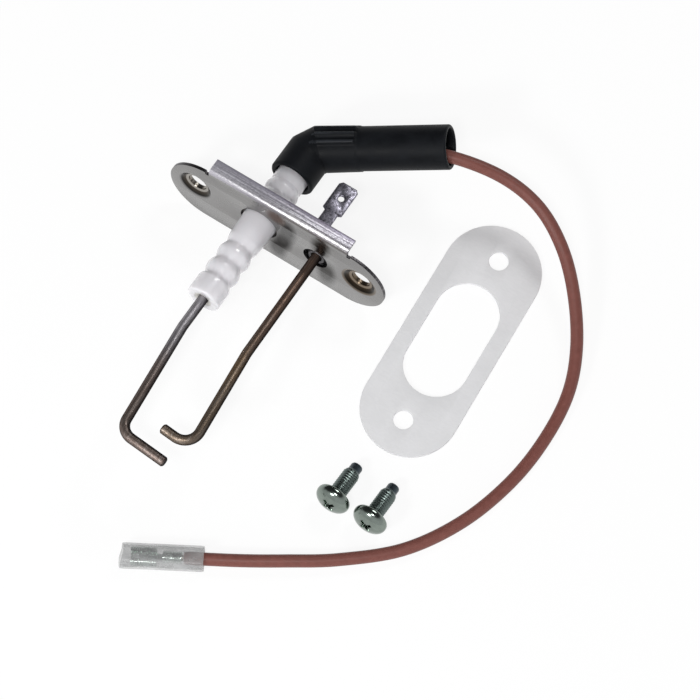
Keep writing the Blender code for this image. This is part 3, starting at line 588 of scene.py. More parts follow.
def heat_wire(name, span, *tints):
    """Wire with faint draw lines, tinted by heat along its length, painted dark as painted shade and lighter
    on one side as painted light.
    """
    made = Finish(name, 0.34, 0.85, Specular_Tint=(0.10, 0.09, 0.09))
    lines = made.grain(1700.0, 2.0, 0.5, (1.0, 1.0, 0.04))
    clouds = made.grain(520.0, 5.0, 0.68)
    worn = made.ramp(made.span(made.axis("Z"), *span, 0.0, 1.0), *tints)
    worn = made.stain(worn, (0.035, 0.028, 0.025), clouds, 0.42, 0.70, 0.45)
    worn = made.stain(worn, (0.42, 0.39, 0.37), lines, 0.45, 0.75, 0.22)
    painted_shade = made.mix(0.80, worn, (0.012, 0.010, 0.010))
    painted_light = made.mix(1.0, worn, (1.75, 1.75, 1.75), "MULTIPLY")
    # the side towards the light is painted lighter as painted light; the rest is painted dark as painted
    # shade
    lit_share = made.facing(PLATE.to_3x3().inverted() @ Vector(PAINTED_LIGHT_SIDE))
    made.set(Base_Color=made.stain(painted_shade, painted_light, lit_share, 0.40, 0.96),
             Roughness=made.between(clouds, 0.34, 0.52))
    made.bump(lines, 0.07, 0.00003)
    return made.made


def tinned_sheet(colour, shaded_spot):
    """Dull tin with dark blotches, painted black round a spot as painted shade."""
    made = Finish("tinned_sheet", 0.32, 1.0)
    blotch = made.grain(1300.0, 6.0, 0.72)
    tone = made.tones(blotch, colour, (0.36, 0.16), (0.46, 0.62), (0.55, 1.0), (0.66, 1.9))
    # painted shade: black round the earth rod, where the foot lies in the gap under the bush's head
    made.set(Base_Color=made.stain(tone, (0.006, 0.006, 0.006), made.away(*shaded_spot), PAINTED_SHADE_EDGE, PAINTED_SHADE_CORE),
             Roughness=made.between(blotch, 0.46, 0.24))
    made.bump(blotch, 0.14, 0.00007)
    return made.made


def plain_metal(name, colour, roughness):
    made = Finish(name, roughness, 1.0)
    clouds = made.grain(700.0, 4.0, 0.6)
    made.set(Base_Color=made.tones(clouds, colour, (0.30, 0.75), (0.70, 1.0)),
             Roughness=made.between(clouds, roughness - 0.06, roughness + 0.08))
    made.bump(clouds, 0.08, 0.00004)
    return made.made


def dry_filler(name, colour):
    """Cement or sealing fibre: matt and crumbly."""
    made = Finish(name, 0.85)
    crumbs = made.grain(1800.0, 5.0, 0.65)
    made.set(Base_Color=made.tones(crumbs, colour, (0.30, 0.80), (0.70, 1.0)))
    made.bump(crumbs, 0.30, 0.0001)
    return made.made


def moulded_rubber(name, colour, gloss):
    """Black rubber with a dry bloom and the fine skin of its mould."""
    made = Finish(name, 0.46, Specular_IOR_Level=gloss)
    bloom = made.grain(170.0, 5.0, 0.62)
    made.set(Base_Color=made.tones(bloom, colour, (0.38, 1.0), (0.74, 1.7)),
             Roughness=made.between(bloom, 0.42, 0.60))
    made.bump(made.grain(2600.0, 3.0, 0.55), 0.12, 0.00005)
    made.bump(bloom, 0.05, 0.0002)
    return made.made


def silicone_jacket(colour):
    """Red-brown silicone: soft sheen, faint dust."""
    made = Finish("silicone_jacket", 0.44, Specular_IOR_Level=0.25)
    dust = made.grain(500.0, 5.0, 0.62)
    made.set(Base_Color=made.tones(dust, colour, (0.32, 0.86), (0.62, 1.0), (0.80, 1.18)),
             Roughness=made.between(dust, 0.36, 0.52))
    made.bump(made.grain(1600.0, 3.0, 0.5), 0.08, 0.00005)
    return made.made


def clear_vinyl(colour):
    """Milky sleeve that lets the receptacle and the lead show through."""
    made = Finish("clear_vinyl", 0.34)
    haze = made.grain(240.0, 3.0, 0.5, (1.0, 1.0, 0.45), 0.6)
    made.set(Base_Color=made.tones(haze, colour, (0.36, 0.85), (0.64, 1.25)),
             Alpha=made.span(haze, 0.36, 0.64, 0.27, 0.46), Roughness=made.between(haze, 0.28, 0.42))
    made.bump(haze, 0.10, 0.0002)
    return made.made


def fibre_board(colour):
    """Pressed white mineral fibre."""
    made = Finish("fibre_board", 0.92)
    fibres = made.grain(1100.0, 6.0, 0.7, (1.0, 0.35, 1.0), 1.2)
    tone = made.tones(made.grain(90.0, 4.0, 0.6), colour, (0.30, 0.95), (0.70, 1.02))
    made.set(Base_Color=made.stain(tone, shade(colour, 0.72), fibres, 0.42, 0.62, 0.12))
    made.bump(fibres, 0.25, 0.00008)
    return made.made


def zinc_plate(colour):
    """Glossy zinc with a greenish cast; the thread and the point are darker than the head."""
    made = Finish("zinc_plate", 0.16, 1.0)
    clouds = made.grain(420.0, 3.0, 0.55)
    height = made.axis("Z")
    shank = made.span(height, 0.0, -0.0010, 0.0, 0.55)
    tone = made.tones(clouds, colour, (0.30, 0.82), (0.70, 1.05))
    tone = made.mix(shank, tone, (0.05, 0.075, 0.08))
    tone = made.stain(tone, (0.030, 0.042, 0.055), height, -SHANK + 0.0006, -SHANK - 0.0004, 0.85)
    made.set(Base_Color=tone, Roughness=made.mix(shank, made.between(clouds, 0.14, 0.20), (0.50, 0.50, 0.50)))
    made.bump(clouds, 0.03, 0.00005)
    return made.made


# settings

def tint(label, words, value):
    return FloatVectorProperty(name=label, description=words, subtype="COLOR", default=value,
                               min=0.0, max=1.0)


class ElectrodeColours(bpy.types.PropertyGroup):
    """Colours of the finishes."""
    steel: tint("Flange steel", "Colour of the rolled flange sheet", (0.28, 0.275, 0.272))
    edge: tint("Cut edges", "Colour of the flange's sheared edges", (0.10, 0.095, 0.10))
    ceramic: tint("Ceramic", "Colour of the glaze", (0.80, 0.785, 0.815))
    spark: tint("Spark rod", "Colour of the spark rod at the ceramic", (0.40, 0.385, 0.41))
    earth: tint("Earth rod", "Colour of the earth rod at the flange", (0.15, 0.098, 0.074))
    tin: tint("Earth tab", "Colour of the tinned tab", (0.31, 0.30, 0.355))
    rubber: tint("Boot", "Colour of the rubber boot", (0.0062, 0.0070, 0.0085))
    silicone: tint("Lead", "Colour of the lead's jacket", (0.205, 0.074, 0.060))
    vinyl: tint("Sleeve", "Colour of the milky sleeve", (0.42, 0.425, 0.425))
    fibre: tint("Gasket", "Colour of the fibre gasket", (0.77, 0.77, 0.78))
    zinc: tint("Screws", "Colour of the zinc plating", (0.24, 0.28, 0.25))


class ElectrodeStage(bpy.types.PropertyGroup):
    """Camera and light."""
    elevation: FloatProperty(name="Camera height", description="Camera's angle above the floor",
                             subtype="ANGLE", default=radians(72.0))
    distance: FloatProperty(name="Camera distance", description="From the camera to the floor",
                            unit="LENGTH", default=0.75)
    lens: FloatProperty(name="Lens", description="Focal length on a 36 mm sensor", default=135.0)
    front_power: FloatProperty(name="Front light", description="Power of the panel beside the camera",
                               unit="POWER", default=3.0)
    key_power: FloatProperty(name="Left light", description="Power of the small panel at the front left",
                             unit="POWER", default=2.4)


def colours():
    return bpy.context.scene.electrode_colours


# pieces

class ELECTRODE_OT_stage(bpy.types.Operator):
    """Set up the camera, the floor and the soft light"""
    bl_idname = "electrode.stage"
    bl_label = "Camera, floor and light"

    def execute(self, context):
        scene = context.scene
        scene.view_settings.view_transform = "Standard"
        stage = scene.electrode_stage
        lens = bpy.data.cameras.new("camera")
        lens.lens = stage.lens
        lens.sensor_width = 36.0
        lens.clip_start = 0.01
        camera = show(bpy.data.objects.new("camera", lens))
        back = Vector((0.0, -cos(stage.elevation), sin(stage.elevation)))
        camera.location = LAYOUT + back * stage.distance
        camera.rotation_euler = (pi / 2 - stage.elevation, 0.0, 0.0)
        scene.camera = camera

        corners = [(x * FLOOR_HALF, y * FLOOR_HALF, 0.0) for x, y in ((-1, -1), (1, -1), (1, 1), (-1, 1))]
        plane = show(bpy.data.objects.new("floor", new_mesh("floor", corners, [(0, 1, 2, 3)])))
        plane.location.z = -FLOOR_SINK
        plane.data.materials.append(self.paper())

        scene.world = bpy.data.worlds.new("studio")
        scene.world.use_nodes = True
        tent = Nodes(scene.world.node_tree)
        way = tent.nodes.new("ShaderNodeTexCoord").outputs["Generated"]
        height = tent.vector("DOT_PRODUCT", "Value", way, TENT_AXIS)
        walls = tent.nodes["Background"].inputs
        tent.plug(walls["Strength"], TENT_STRENGTH)
        tones = [(place, (tone, tone, tone * 1.02)) for place, tone in TENT_TONES]
        tent.plug(walls["Color"], tent.ramp(height, *tones))

        for name, place, width, power, share in PANELS:
            lamp = bpy.data.lights.new(name, "AREA")
            lamp.shape = "RECTANGLE"
            lamp.size, lamp.size_y = width, width * PANEL_HEIGHT
            lamp.energy = getattr(stage, power) * share
            panel = show(bpy.data.objects.new(name, lamp))
            panel.location = place
            panel.rotation_euler = (-Vector(place)).to_track_quat("-Z", "Y").to_euler()
        return {"FINISHED"}

    @staticmethod
    def paper():
        """White paper that partly glows when seen by the camera, in gloss or through clear pieces."""
        made = Finish("floor_paper", 0.9, Base_Color=(0.92, 0.92, 0.92), Specular_IOR_Level=0.1)
        rays = made.nodes.new("ShaderNodeLightPath").outputs
        seen = made.maths("MAXIMUM", rays["Is Camera Ray"], rays["Is Transmission Ray"])
        seen = made.maths("MAXIMUM", seen, rays["Is Glossy Ray"])
        white = made.node("Emission", 0, {"Strength": FLOOR_GLOW})
        blend = made.node("MixShader", 0, {0: made.maths("MULTIPLY", seen, GLOW_SHARE),
                                           1: made.shader.outputs[0], 2: white})
        made.plug(made.nodes["Material Output"].inputs["Surface"], blend)
        return made.made


class ELECTRODE_OT_flange(bpy.types.Operator):
    """Press the flange out of one sheet: lobes, dished holes and the folded lip"""
    bl_idname = "electrode.flange"
    bl_label = "Flange"

    def execute(self, context):
        half, pitch = FLANGE_WIDTH / 2, HOLE_PITCH / 2
        lobe = pitch + LOBE_REACH - half
        seat = TOP_EDGE - RELIEF_DEPTH
        past = max(0.0, RELIEF_WIDTH - LIP_FROM - lobe)
        # round the sheet from the lip's left end to its right end, with a bend relief beside both
        outline = ([(LIP_FROM, FOLD - MARGIN), (LIP_FROM, seat), (LIP_FROM - RELIEF_WIDTH, seat)]
                   + arc(-lobe, -FLANGE_DROP, half, 90.0 + degrees(asin(past / half)), 270.0, 65)
                   + arc(lobe, -FLANGE_DROP, half, -90.0, 90.0, 65)
                   + [(LIP_TO + RELIEF_WIDTH, TOP_EDGE), (LIP_TO + RELIEF_WIDTH, seat), (LIP_TO, seat),
                      (LIP_TO, FOLD - MARGIN)])
        holes = [circle(CERAMIC_X, 0.0, CERAMIC_HOLE, 72), circle(EARTH_X, EARTH_Y, EARTH_HOLE, 56)]
        shells = []
        for radius, z in ((DISH_MOUTH, 0.0), (DISH_BOSS, -SHEET)):
            side = cut_sheet([outline] + holes + [circle(x, 0.0, radius, 64) for x in (-pitch, pitch)])
            side.transform(Matrix.Translation((0.0, 0.0, z)))
            shells.append(side)
        shells += [strip(line, -SHEET, 0.0) for line in [outline] + [hole + hole[:1] for hole in holes]]
        shells.append(self.lip())
        dish = self.dish()
        for x in (-pitch, pitch):
            rings = [[(*point, z) for point in circle(x, 0.0, radius, 64)] for radius, z in dish]
            shells.append(lofted(rings, caps=False))
        source = bpy.data.objects.new("sheet", clean(joined(shells), 32.0, 2e-6))
        edge = source.modifiers.new("edge", "BEVEL")
        edge.width = SHEET_EDGE
        edge.segments = 2
        edge.limit_method = "ANGLE"
        edge.angle_limit = radians(50.0)
        made = clean(settled(source), 24.0, 1e-8)
        tone = colours()
        piece("flange", made, PLATE, "electrode", "satin_steel", rolled_steel(tone.steel), "flange_plate")
        made.materials.append(cut_edge(tone.edge))
        for face in made.polygons:
            x, y, _ = face.center
            dished = (abs(x) - pitch) ** 2 + y ** 2 < DISH_MOUTH ** 2
            upright = abs(face.normal.z) < 0.55 and not dished
            if upright and (y < FOLD + 0.00005 or abs(face.normal.x) > 0.7):
                face.material_index = 1
        return {"FINISHED"}

    @staticmethod
    def dish():
        """Radius and height down the wall of a dished hole, through the hole and up its back."""
        rim, ledge, steps = -DISH_DEPTH - SHEET, -DISH_DEPTH, 12
        wall = [(DISH_RADIUS + 0.0006 - 0.0023 * k / steps, ledge * (0.5 - 0.5 * cos(pi * k / steps)))
                for k in range(steps + 1)]
        hole = [(0.0004, ledge), (0.0001, ledge - 0.0001), (0.0, ledge - 0.0003), (0.0, rim - 0.0004),
                (0.0002, rim - 0.0006), (0.0006, rim - 0.0004), (0.0009, rim)]
        back = [(-0.0007, rim), (-0.0001, rim + 0.0003), (0.0004, -SHEET - 0.0002)]
        return ([(DISH_MOUTH, 0.0)] + wall + [(SCREW_HOLE + r, z) for r, z in hole]
                + [(DISH_RADIUS + r, z) for r, z in back]
                + [(DISH_BOSS - 0.0005, -SHEET), (DISH_BOSS, -SHEET)])

    @staticmethod
    def lip():
        """The lip: a bend and a flat, open where it joins the sheet."""
        outer, low = FOLD + BEND_RADIUS, -LIP_DEPTH
        line = ([(FOLD - MARGIN, 0.0)] + arc(FOLD, -BEND_RADIUS, BEND_RADIUS, 90.0, 0.0, 13)
                + [(outer, low), (outer - SHEET, low)]
                + arc(FOLD, -BEND_RADIUS, BEND_RADIUS - SHEET, 0.0, 90.0, 9) + [(FOLD - MARGIN, -SHEET)])
        count = len(line)
        verts = [(x, y, z) for x in (LIP_FROM, LIP_TO) for y, z in line]
        faces = [(k, k + 1, k + 1 + count, k + count) for k in range(count - 1)]
        return new_mesh("lip", verts, faces + [tuple(range(count)), tuple(range(count, 2 * count))])


def swell(t):
    """The round rise of a rib, from a valley at 0 to its crest at 0.5 and down again."""
    return (0.5 - 0.5 * cos(2 * pi * t)) ** RIB_FULLNESS


def rib_profile(start, count, pitch, crest, valley, steps=14):
    places = [k / steps for k in range(1, count * steps + 1)]
    return [(valley + (crest - valley) * swell(t), start - t * pitch) for t in places]


class ELECTRODE_OT_ceramic(bpy.types.Operator):
    """Turn the glazed ceramic and fill its nose with cement"""
    bl_idname = "electrode.ceramic"
    bl_label = "Ceramic"

    def execute(self, context):
        nose_from, slim = WAIST_Z + RIBS * RIB_PITCH, NOSE_RADIUS - WAIST_RADIUS
        ninths = [k / 9 for k in range(10)]
        profile = [(SEAL_POCKET, NOSE_END - 0.0001), (SEAL_POCKET + 0.0002, NOSE_END)]
        profile += arc(NOSE_RADIUS - NOSE_CORNER, NOSE_END - NOSE_CORNER, NOSE_CORNER, 90.0, 0.0, 9)
        # the nose runs out into the first valley in a soft shoulder
        profile += [(WAIST_RADIUS + slim * (0.5 + 0.5 * cos(pi * t)) ** 0.8, nose_from + SHOULDER * (1.0 - t))
                    for t in ninths]
        profile += rib_profile(nose_from, RIBS, RIB_PITCH, RIB_CREST, WAIST_RADIUS)
        # the cone swells out of the last valley in the same round way
        profile += [(WAIST_RADIUS + (CONE_END - WAIST_RADIUS) * swell(t / 2), WAIST_Z - RIB_PITCH / 2 * t)
                    for t in ninths[1:]]
        profile += [(BASE_RADIUS - 0.0001, 0.0012), (BASE_RADIUS, 0.0004),
                    (BASE_RADIUS, COLLAR_FRONT + 0.0001), (BASE_RADIUS + 0.0001, COLLAR_FRONT)]
        inset = COLLAR_RADIUS - COLLAR_CORNER
        profile += arc(inset, COLLAR_FRONT - COLLAR_CORNER, COLLAR_CORNER, 90.0, 0.0, 5)
        profile += arc(inset, COLLAR_BACK + COLLAR_CORNER, COLLAR_CORNER, 0.0, -90.0, 5)
        profile += [(REAR_CREST + 0.0001, COLLAR_BACK), (REAR_CREST, COLLAR_BACK - 0.0001),
                    (REAR_CREST, REAR_RIBS)]
        profile += rib_profile(REAR_RIBS, REAR_COUNT, REAR_PITCH, REAR_CREST, REAR_NECK - 0.0002)
        profile += [(REAR_NECK, REAR_RIBS - 0.0084), (REAR_NECK, CERAMIC_REAR + REAR_CORNER)]
        profile += arc(REAR_NECK - REAR_CORNER, CERAMIC_REAR + REAR_CORNER, REAR_CORNER, 0.0, -90.0, 5)
        profile += [(SEAL_POCKET, CERAMIC_REAR), (SEAL_POCKET, CERAMIC_REAR + SEAL_DEPTH),
                    (ROD_HOLE, CERAMIC_REAR + SEAL_DEPTH), (ROD_HOLE, NOSE_END - SEAL_DEPTH),
                    (SEAL_POCKET, NOSE_END - SEAL_DEPTH)]
        piece("ceramic", clean(turned(profile, 96), 40.0), CERAMIC_PLACE, "electrode", "glazed_ceramic",
              glazed_ceramic(colours().ceramic), "ceramic_insulator")
        low, inner = NOSE_END - SEAL_DEPTH + 0.0003, ROD_RADIUS + 0.00005
        plug = [(inner, NOSE_END - 0.0007), (ROD_RADIUS + 0.0003, NOSE_END - 0.0004),
                (SEAL_POCKET - 0.0004, NOSE_END - 0.0002), (SEAL_POCKET, NOSE_END - 0.00012),
                (SEAL_POCKET, low), (inner, low)]
        piece("cement_plug", clean(turned(plug, 64)), CERAMIC_PLACE, "electrode", "cement",
              dry_filler("nose_cement", (0.66, 0.645, 0.61)), "cement_front")
        return {"FINISHED"}


class ELECTRODE_OT_rods(bpy.types.Operator):
    """Bend the spark rod and the earth rod"""
    bl_idname = "electrode.rods"
    bl_label = "Rods"

    def execute(self, context):
        tone = colours()
        spark = heat_wire("spark_wire", (0.028, 0.078), (0.0, shade(tone.spark, 0.75)), (0.16, tone.spark),
                          (0.34, shade(tone.spark, 0.62)), (0.50, (0.15, 0.118, 0.108)),
                          (0.76, (0.14, 0.11, 0.097)), (0.90, (0.115, 0.092, 0.080)),
                          (0.97, (0.13, 0.10, 0.088)))
        piece("spark_wire", bent_wire(SPARK_ROUTE), CERAMIC_PLACE, "electrode", "heat_wire_grey", spark,
              "spark_rod")
        # the earth rod is painted lighter and golden at its bend, a painted highlight over its heat tint
        earth = heat_wire("earth_wire", (0.0, 0.070), (0.0, shade(tone.earth, 0.9)), (0.30, tone.earth),
                          (0.48, (0.15, 0.105, 0.080)), (0.58, (0.21, 0.145, 0.09)),
                          (0.72, (0.145, 0.108, 0.075)), (0.95, (0.14, 0.108, 0.082)))
        piece("earth_wire", bent_wire(EARTH_ROUTE), EARTH_PLACE, "electrode", "heat_wire_brown", earth,
              "earth_rod")
        return {"FINISHED"}


class ELECTRODE_OT_earth_terminal(bpy.types.Operator):
    """Stamp the spade tab and turn the bush of the earth rod"""
    bl_idname = "electrode.earth_terminal"
    bl_label = "Earth terminal"

    def execute(self, context):
        half, neck = TAB_WIDTH / 2, TAB_NECK / 2
        left = [(-neck, FOOT_TOP - TAB_SHEET / 2), (-neck, TAB_ROOT + 0.0004), (-half + 0.0002, TAB_ROOT),
                (-half, TAB_ROOT - 0.0002), (-half, TAB_TIP + 0.0010), (-half + 0.0009, TAB_TIP)]
        blade = [(TAB_X + x, z) for x, z in left + [(-x, z) for x, z in reversed(left)]]
        hole = circle(TAB_X, (TAB_ROOT + TAB_TIP) / 2, TAB_HOLE, 32)
        upright = cut_sheet([blade, hole], TAB_SHEET, TAB_EDGE)
        high, right = TAB_Y + TAB_SHEET / 2, EARTH_X + FOOT_REACH
        upright.transform(Matrix.Translation((0.0, high, 0.0)) @ Matrix.Rotation(pi / 2, 4, "X"))
        foot = cut_sheet([[(TAB_X - neck, EARTH_Y - FOOT_REACH), (right, EARTH_Y - FOOT_REACH),
                           (right, EARTH_Y + FOOT_REACH), (TAB_X + neck, high), (TAB_X - neck, high)],
                          circle(EARTH_X, EARTH_Y, BUSH_RADIUS + 0.0003)], TAB_SHEET, FOOT_EDGE)
        foot.transform(Matrix.Translation((0.0, 0.0, FOOT_TOP - TAB_SHEET)))
        tab = clean(combined(clean(upright), [clean(foot)], "UNION"))
        piece("spade_tab", tab, PLATE, "electrode", "tinned_steel",
              tinned_sheet(colours().tin, (EARTH_X, EARTH_Y)), "earth_tab")
        head = FOOT_TOP - TAB_SHEET - 0.0003
        profile = [(ROD_HOLE, -0.0005), (ROD_HOLE + 0.0002, -0.0004), (BUSH_RADIUS - 0.0002, -0.0004),
                   (BUSH_RADIUS, -0.0006), (BUSH_RADIUS, head), (BUSH_HEAD, head), (BUSH_HEAD, head - 0.0009),
                   (BUSH_HEAD - 0.0004, head - 0.0013), (ROD_HOLE, head - 0.0013)]
        piece("bush", clean(turned(profile, 56)), EARTH_PLACE, "electrode", "spring_steel",
              plain_metal("bush_steel", (0.12, 0.115, 0.12), 0.50), "earth_bush")
        return {"FINISHED"}


class ELECTRODE_OT_boot(bpy.types.Operator):
    """Mould the rubber elbow boot with its grip ribs and open mouth"""
    bl_idname = "electrode.boot"
    bl_label = "Boot"
    sides = 120

    def execute(self, context):
        leg = Vector((0.0, 0.0, -1.0))
        across = leg.cross(ARM).normalized()
        turn = (leg + ARM).normalized()
        # a short run between leg and arm cuts the outer corner off; it shrinks to a crease inside
        joints = ((ELBOW - leg * CORNER_CUT, (leg + turn).normalized()),
                  (ELBOW + ARM * CORNER_CUT, (turn + ARM).normalized()))
        down = LEG_RIM - ELBOW_Z

        def ring(run, s, radius, ribs=False):
            """Points round the leg or the arm, s along it from the elbow, stopped at its mitre."""
            side = across.cross(run)
            middle, mitre = joints[0] if run == leg else joints[1]
            points = []
            for k in range(self.sides):
                angle = 2 * pi * k / self.sides
                # the side points inward, so the outer side is at half a turn
                reach = radius + (self.grip(s, angle - pi) if ribs else 0.0)
                point = ELBOW + run * s + side * (reach * cos(angle)) + across * (reach * sin(angle))
                beyond = (point - middle).dot(mitre)
                if (run == leg) == (beyond > 0.0):
                    point -= run * (beyond / run.dot(mitre))
                points.append(point)
            return points

        def bridge(radius):
            """Rings of the short run between the two mitres."""
            low, high = ring(leg, 0.02, radius), ring(ARM, -0.02, radius)
            return [[a.lerp(b, t) for a, b in zip(low, high)] for t in (0.06, 0.25, 0.5, 0.75, 0.94)]

        first, last = -0.0030, ARM_LENGTH - 0.0005
        rings = [ring(leg, -down, BORE + 0.0005), ring(leg, -down, LEG_RADIUS - 0.0006),
                 ring(leg, -down + 0.00015, LEG_RADIUS - 0.0002)]
        rings += [ring(leg, -down + 0.0005 + (down + 0.0045) * k / 30, LEG_RADIUS) for k in range(31)]
        rings += bridge(LEG_RADIUS)
        places = [first + (last - first) * k / 150 for k in range(151)]
        rings += [ring(ARM, s, self.girth(s), True) for s in places]
        end = self.girth(ARM_LENGTH)
        rings += [ring(ARM, ARM_LENGTH - 0.0002, end - 0.00015), ring(ARM, ARM_LENGTH, end - 0.0004),
                  ring(ARM, ARM_LENGTH, BORE + 0.0003), ring(ARM, ARM_LENGTH - 0.0003, BORE + 0.00005)]
        rings += [ring(ARM, ARM_LENGTH - 0.0006 - (ARM_LENGTH + 0.0020) * k / 20, BORE) for k in range(21)]
        rings += bridge(BORE)[::-1]
        rings += [ring(leg, 0.0030 - (down + 0.0025) * k / 8, BORE) for k in range(9)]
        made = clean(lofted(rings, cyclic=True), 60.0, 4e-6)
        self.soften(made, joints)
        crests = []
        for face in made.polygons:
            place = face.center - ELBOW
            along = place.dot(ARM)
            angle = atan2(place.dot(across), place.dot(across.cross(ARM))) - pi
            crests.append(self.grip(along, angle) > 0.9 * GRIP_RISE)
        made.transform(CERAMIC_PLACE)
        rubber = colours().rubber
        piece("rubber_boot", made, Matrix(), "boot", "black_rubber",
              moulded_rubber("moulded_rubber", rubber, 0.09), "boot")
        # the rib crests get a lighter copy of the rubber as a painted highlight
        made.materials.append(moulded_rubber("rib_crests_painted_highlight", shade(rubber, 2.6), 0.22))
        for face, crest in zip(made.polygons, crests):
            face.material_index = int(crest)
        return {"FINISHED"}

    @staticmethod
    def soften(mesh, joints):
        """Round the skin off where its runs meet."""
        work = bmesh.new()
        work.from_mesh(mesh)
        near = [v for v in work.verts
                if any(abs((v.co - middle).dot(mitre)) < 0.0006 for middle, mitre in joints)]
        for _ in range(3):
            bmesh.ops.smooth_vert(work, verts=near, factor=0.4, use_axis_x=True, use_axis_y=True,
                                  use_axis_z=True)
        work.to_mesh(mesh)
        work.free()

    @staticmethod
    def girth(along):
        """Radius of the arm: thick at the grip, with a small step down to the plain tube."""
        grip = LEG_RADIUS - 0.0002 * max(0.0, along) / GRIP_STEP
        return ARM_RADIUS + (grip - ARM_RADIUS) / (1.0 + exp(min(60.0, (along - GRIP_STEP) / 0.00012)))

    @staticmethod
    def grip(along, angle):
        """Height of the grip ribs at a place on the arm."""
        ends = min(along - GRIP_FROM, GRIP_TO - along) / GRIP_RUN
        if ends <= 0.0:
            return 0.0
        angle = (angle + pi) % (2 * pi) - pi
        across = min(abs(angle - radians(middle)) for middle in GRIP_ANGLES) * ARM_RADIUS
        inside = 1.0 - across / (GRIP_WIDTH / 2)
        return GRIP_RISE * sqrt(min(1.0, ends)) * max(0.0, min(1.0, 0.5 + inside * 1.5))


class ELECTRODE_OT_lead(bpy.types.Operator):
    """Lay the silicone lead from the boot to the receptacle"""
    bl_idname = "electrode.lead"
    bl_label = "Lead"

    def execute(self, context):
        path, leaves = self.route()
        end = [LEAD_RADIUS - 0.00015]
        made = tube(path, end + [LEAD_RADIUS] * (len(path) - 2) + end, 40.0)
        made.materials.append(silicone_jacket(colours().silicone))
        jacket = show(bpy.data.objects.new("lead_jacket", made))
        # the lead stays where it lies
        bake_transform(jacket)
        jacket.visible_glossy = False
        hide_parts("lead")
        return {"FINISHED"}

    @staticmethod
    def route():
        """The lead's centreline from inside the boot to the receptacle, and where it leaves the boot."""
        mouth, inside = CERAMIC_PLACE @ (ELBOW + ARM * ARM_LENGTH), CERAMIC_PLACE @ (ELBOW + ARM * LEAD_START)
        along = (mouth - inside).normalized()
        low = Vector((0.0, -1.0, -0.25))
        drop = (low - along * low.dot(along)).normalized() * LEAD_DROP
        route = [inside, inside + along * 0.006, inside + along * 0.014 + drop * 0.35, mouth + drop]
        route += [LAYOUT + Vector(point) for point in (*LEAD_ROUTE, LEAD_END)]
        return through(route, 14), mouth + drop


def oval(height, width, count=12):
    corner = min(height, width) * 0.44
    x, y = height / 2 - corner, width / 2 - corner
    return (arc(x, y, corner, 0.0, 90.0, count) + arc(-x, y, corner, 90.0, 180.0, count)
            + arc(-x, -y, corner, 180.0, 270.0, count) + arc(x, -y, corner, 270.0, 360.0, count))


class ELECTRODE_OT_far_end(bpy.types.Operator):
    """Fold the receptacle and slip the clear sleeve over it"""
    bl_idname = "electrode.far_end"
    bl_label = "Receptacle and sleeve"

    def execute(self, context):
        # z along the lead's last stretch towards the open end, x up
        place = aligned(LAYOUT + Vector(LEAD_END), Vector(LEAD_END) - Vector(LEAD_ROUTE[-1]))
        piece("receptacle_clip", self.receptacle(), place, "electrode", "tinned_steel",
              plain_metal("receptacle_tin", (0.60, 0.68, 0.63), 0.26), "receptacle")
        piece("vinyl_sleeve", self.sleeve(), place, "sleeve", "clear_sleeve", clear_vinyl(colours().vinyl),
              "clear_sleeve")
        return {"FINISHED"}

    @staticmethod
    def receptacle():
        """A crimped barrel, a neck and a cage of sheet rolled in from both sides."""
        rings = []
        for k in range(15):
            t = k / 14
            pinch = BARREL_PINCH * sin(pi * t) ** 2
            rings.append([((BARREL_RADIUS - (pinch if x > 0.3 else 0.0)) * x,
                           (BARREL_RADIUS - pinch * 0.3) * y, z)
                          for x, y, z in hoop(1.0, BARREL_START + (BARREL_END - BARREL_START) * t, 40)])
        rings += [hoop(CORE_RADIUS + 0.0003, z, 40) for z in (BARREL_END, BARREL_START)]
        cage_from = BARREL_END + BOX_NECK
        curl, base = BOX_HEIGHT / 2, -BARREL_RADIUS + 0.0001
        middle = (base + curl, BOX_WIDTH / 2 - curl)
        tip_x, tip_y = base + BOX_HEIGHT - 0.0006, middle[1] - 0.0003
        roll = (arc(*middle, curl, 180.0, 0.0, 21) + [(tip_x, tip_y), (tip_x - BOX_SHEET, tip_y)]
                + arc(*middle, curl - BOX_SHEET, 0.0, 180.0, 21))
        cage = cut_sheet([roll + [(x, -y) for x, y in reversed(roll)]], BOX_LENGTH)
        cage.transform(Matrix.Translation((0.0, 0.0, cage_from)))
        neck = block((base, -NECK_HALF, BARREL_END - 0.0030),
                     (base + BOX_SHEET, NECK_HALF, cage_from + 0.0010))
        return clean(combined(clean(lofted(rings, cyclic=True)), [clean(cage), neck], "UNION"))

    @staticmethod
    def sleeve(sections=24):
        """A flat oval tube, a little slack in the middle."""
        rings = []
        for thin, order in ((0.0, range(sections + 1)), (SLEEVE_WALL, range(sections, -1, -1))):
            for k in order:
                t = k / sections
                z = -SLEEVE_LAP + SLEEVE_LENGTH * t
                ease = 1.0 - 0.012 * sin(pi * t)
                ends = 0.00012 if k in (0, sections) and not thin else 0.0
                sizes = [(size - 2 * thin) * ease - 2 * ends for size in (SLEEVE_HEIGHT, SLEEVE_WIDTH)]
                # the open end is cut a little long on its near side
                rings.append([(x, y, z + 0.0006 * t ** 8 / (1.0 + exp((y - 0.0008) / 0.0002)))
                              for x, y in oval(*sizes)])
        return clean(lofted(rings, cyclic=True), 50.0)


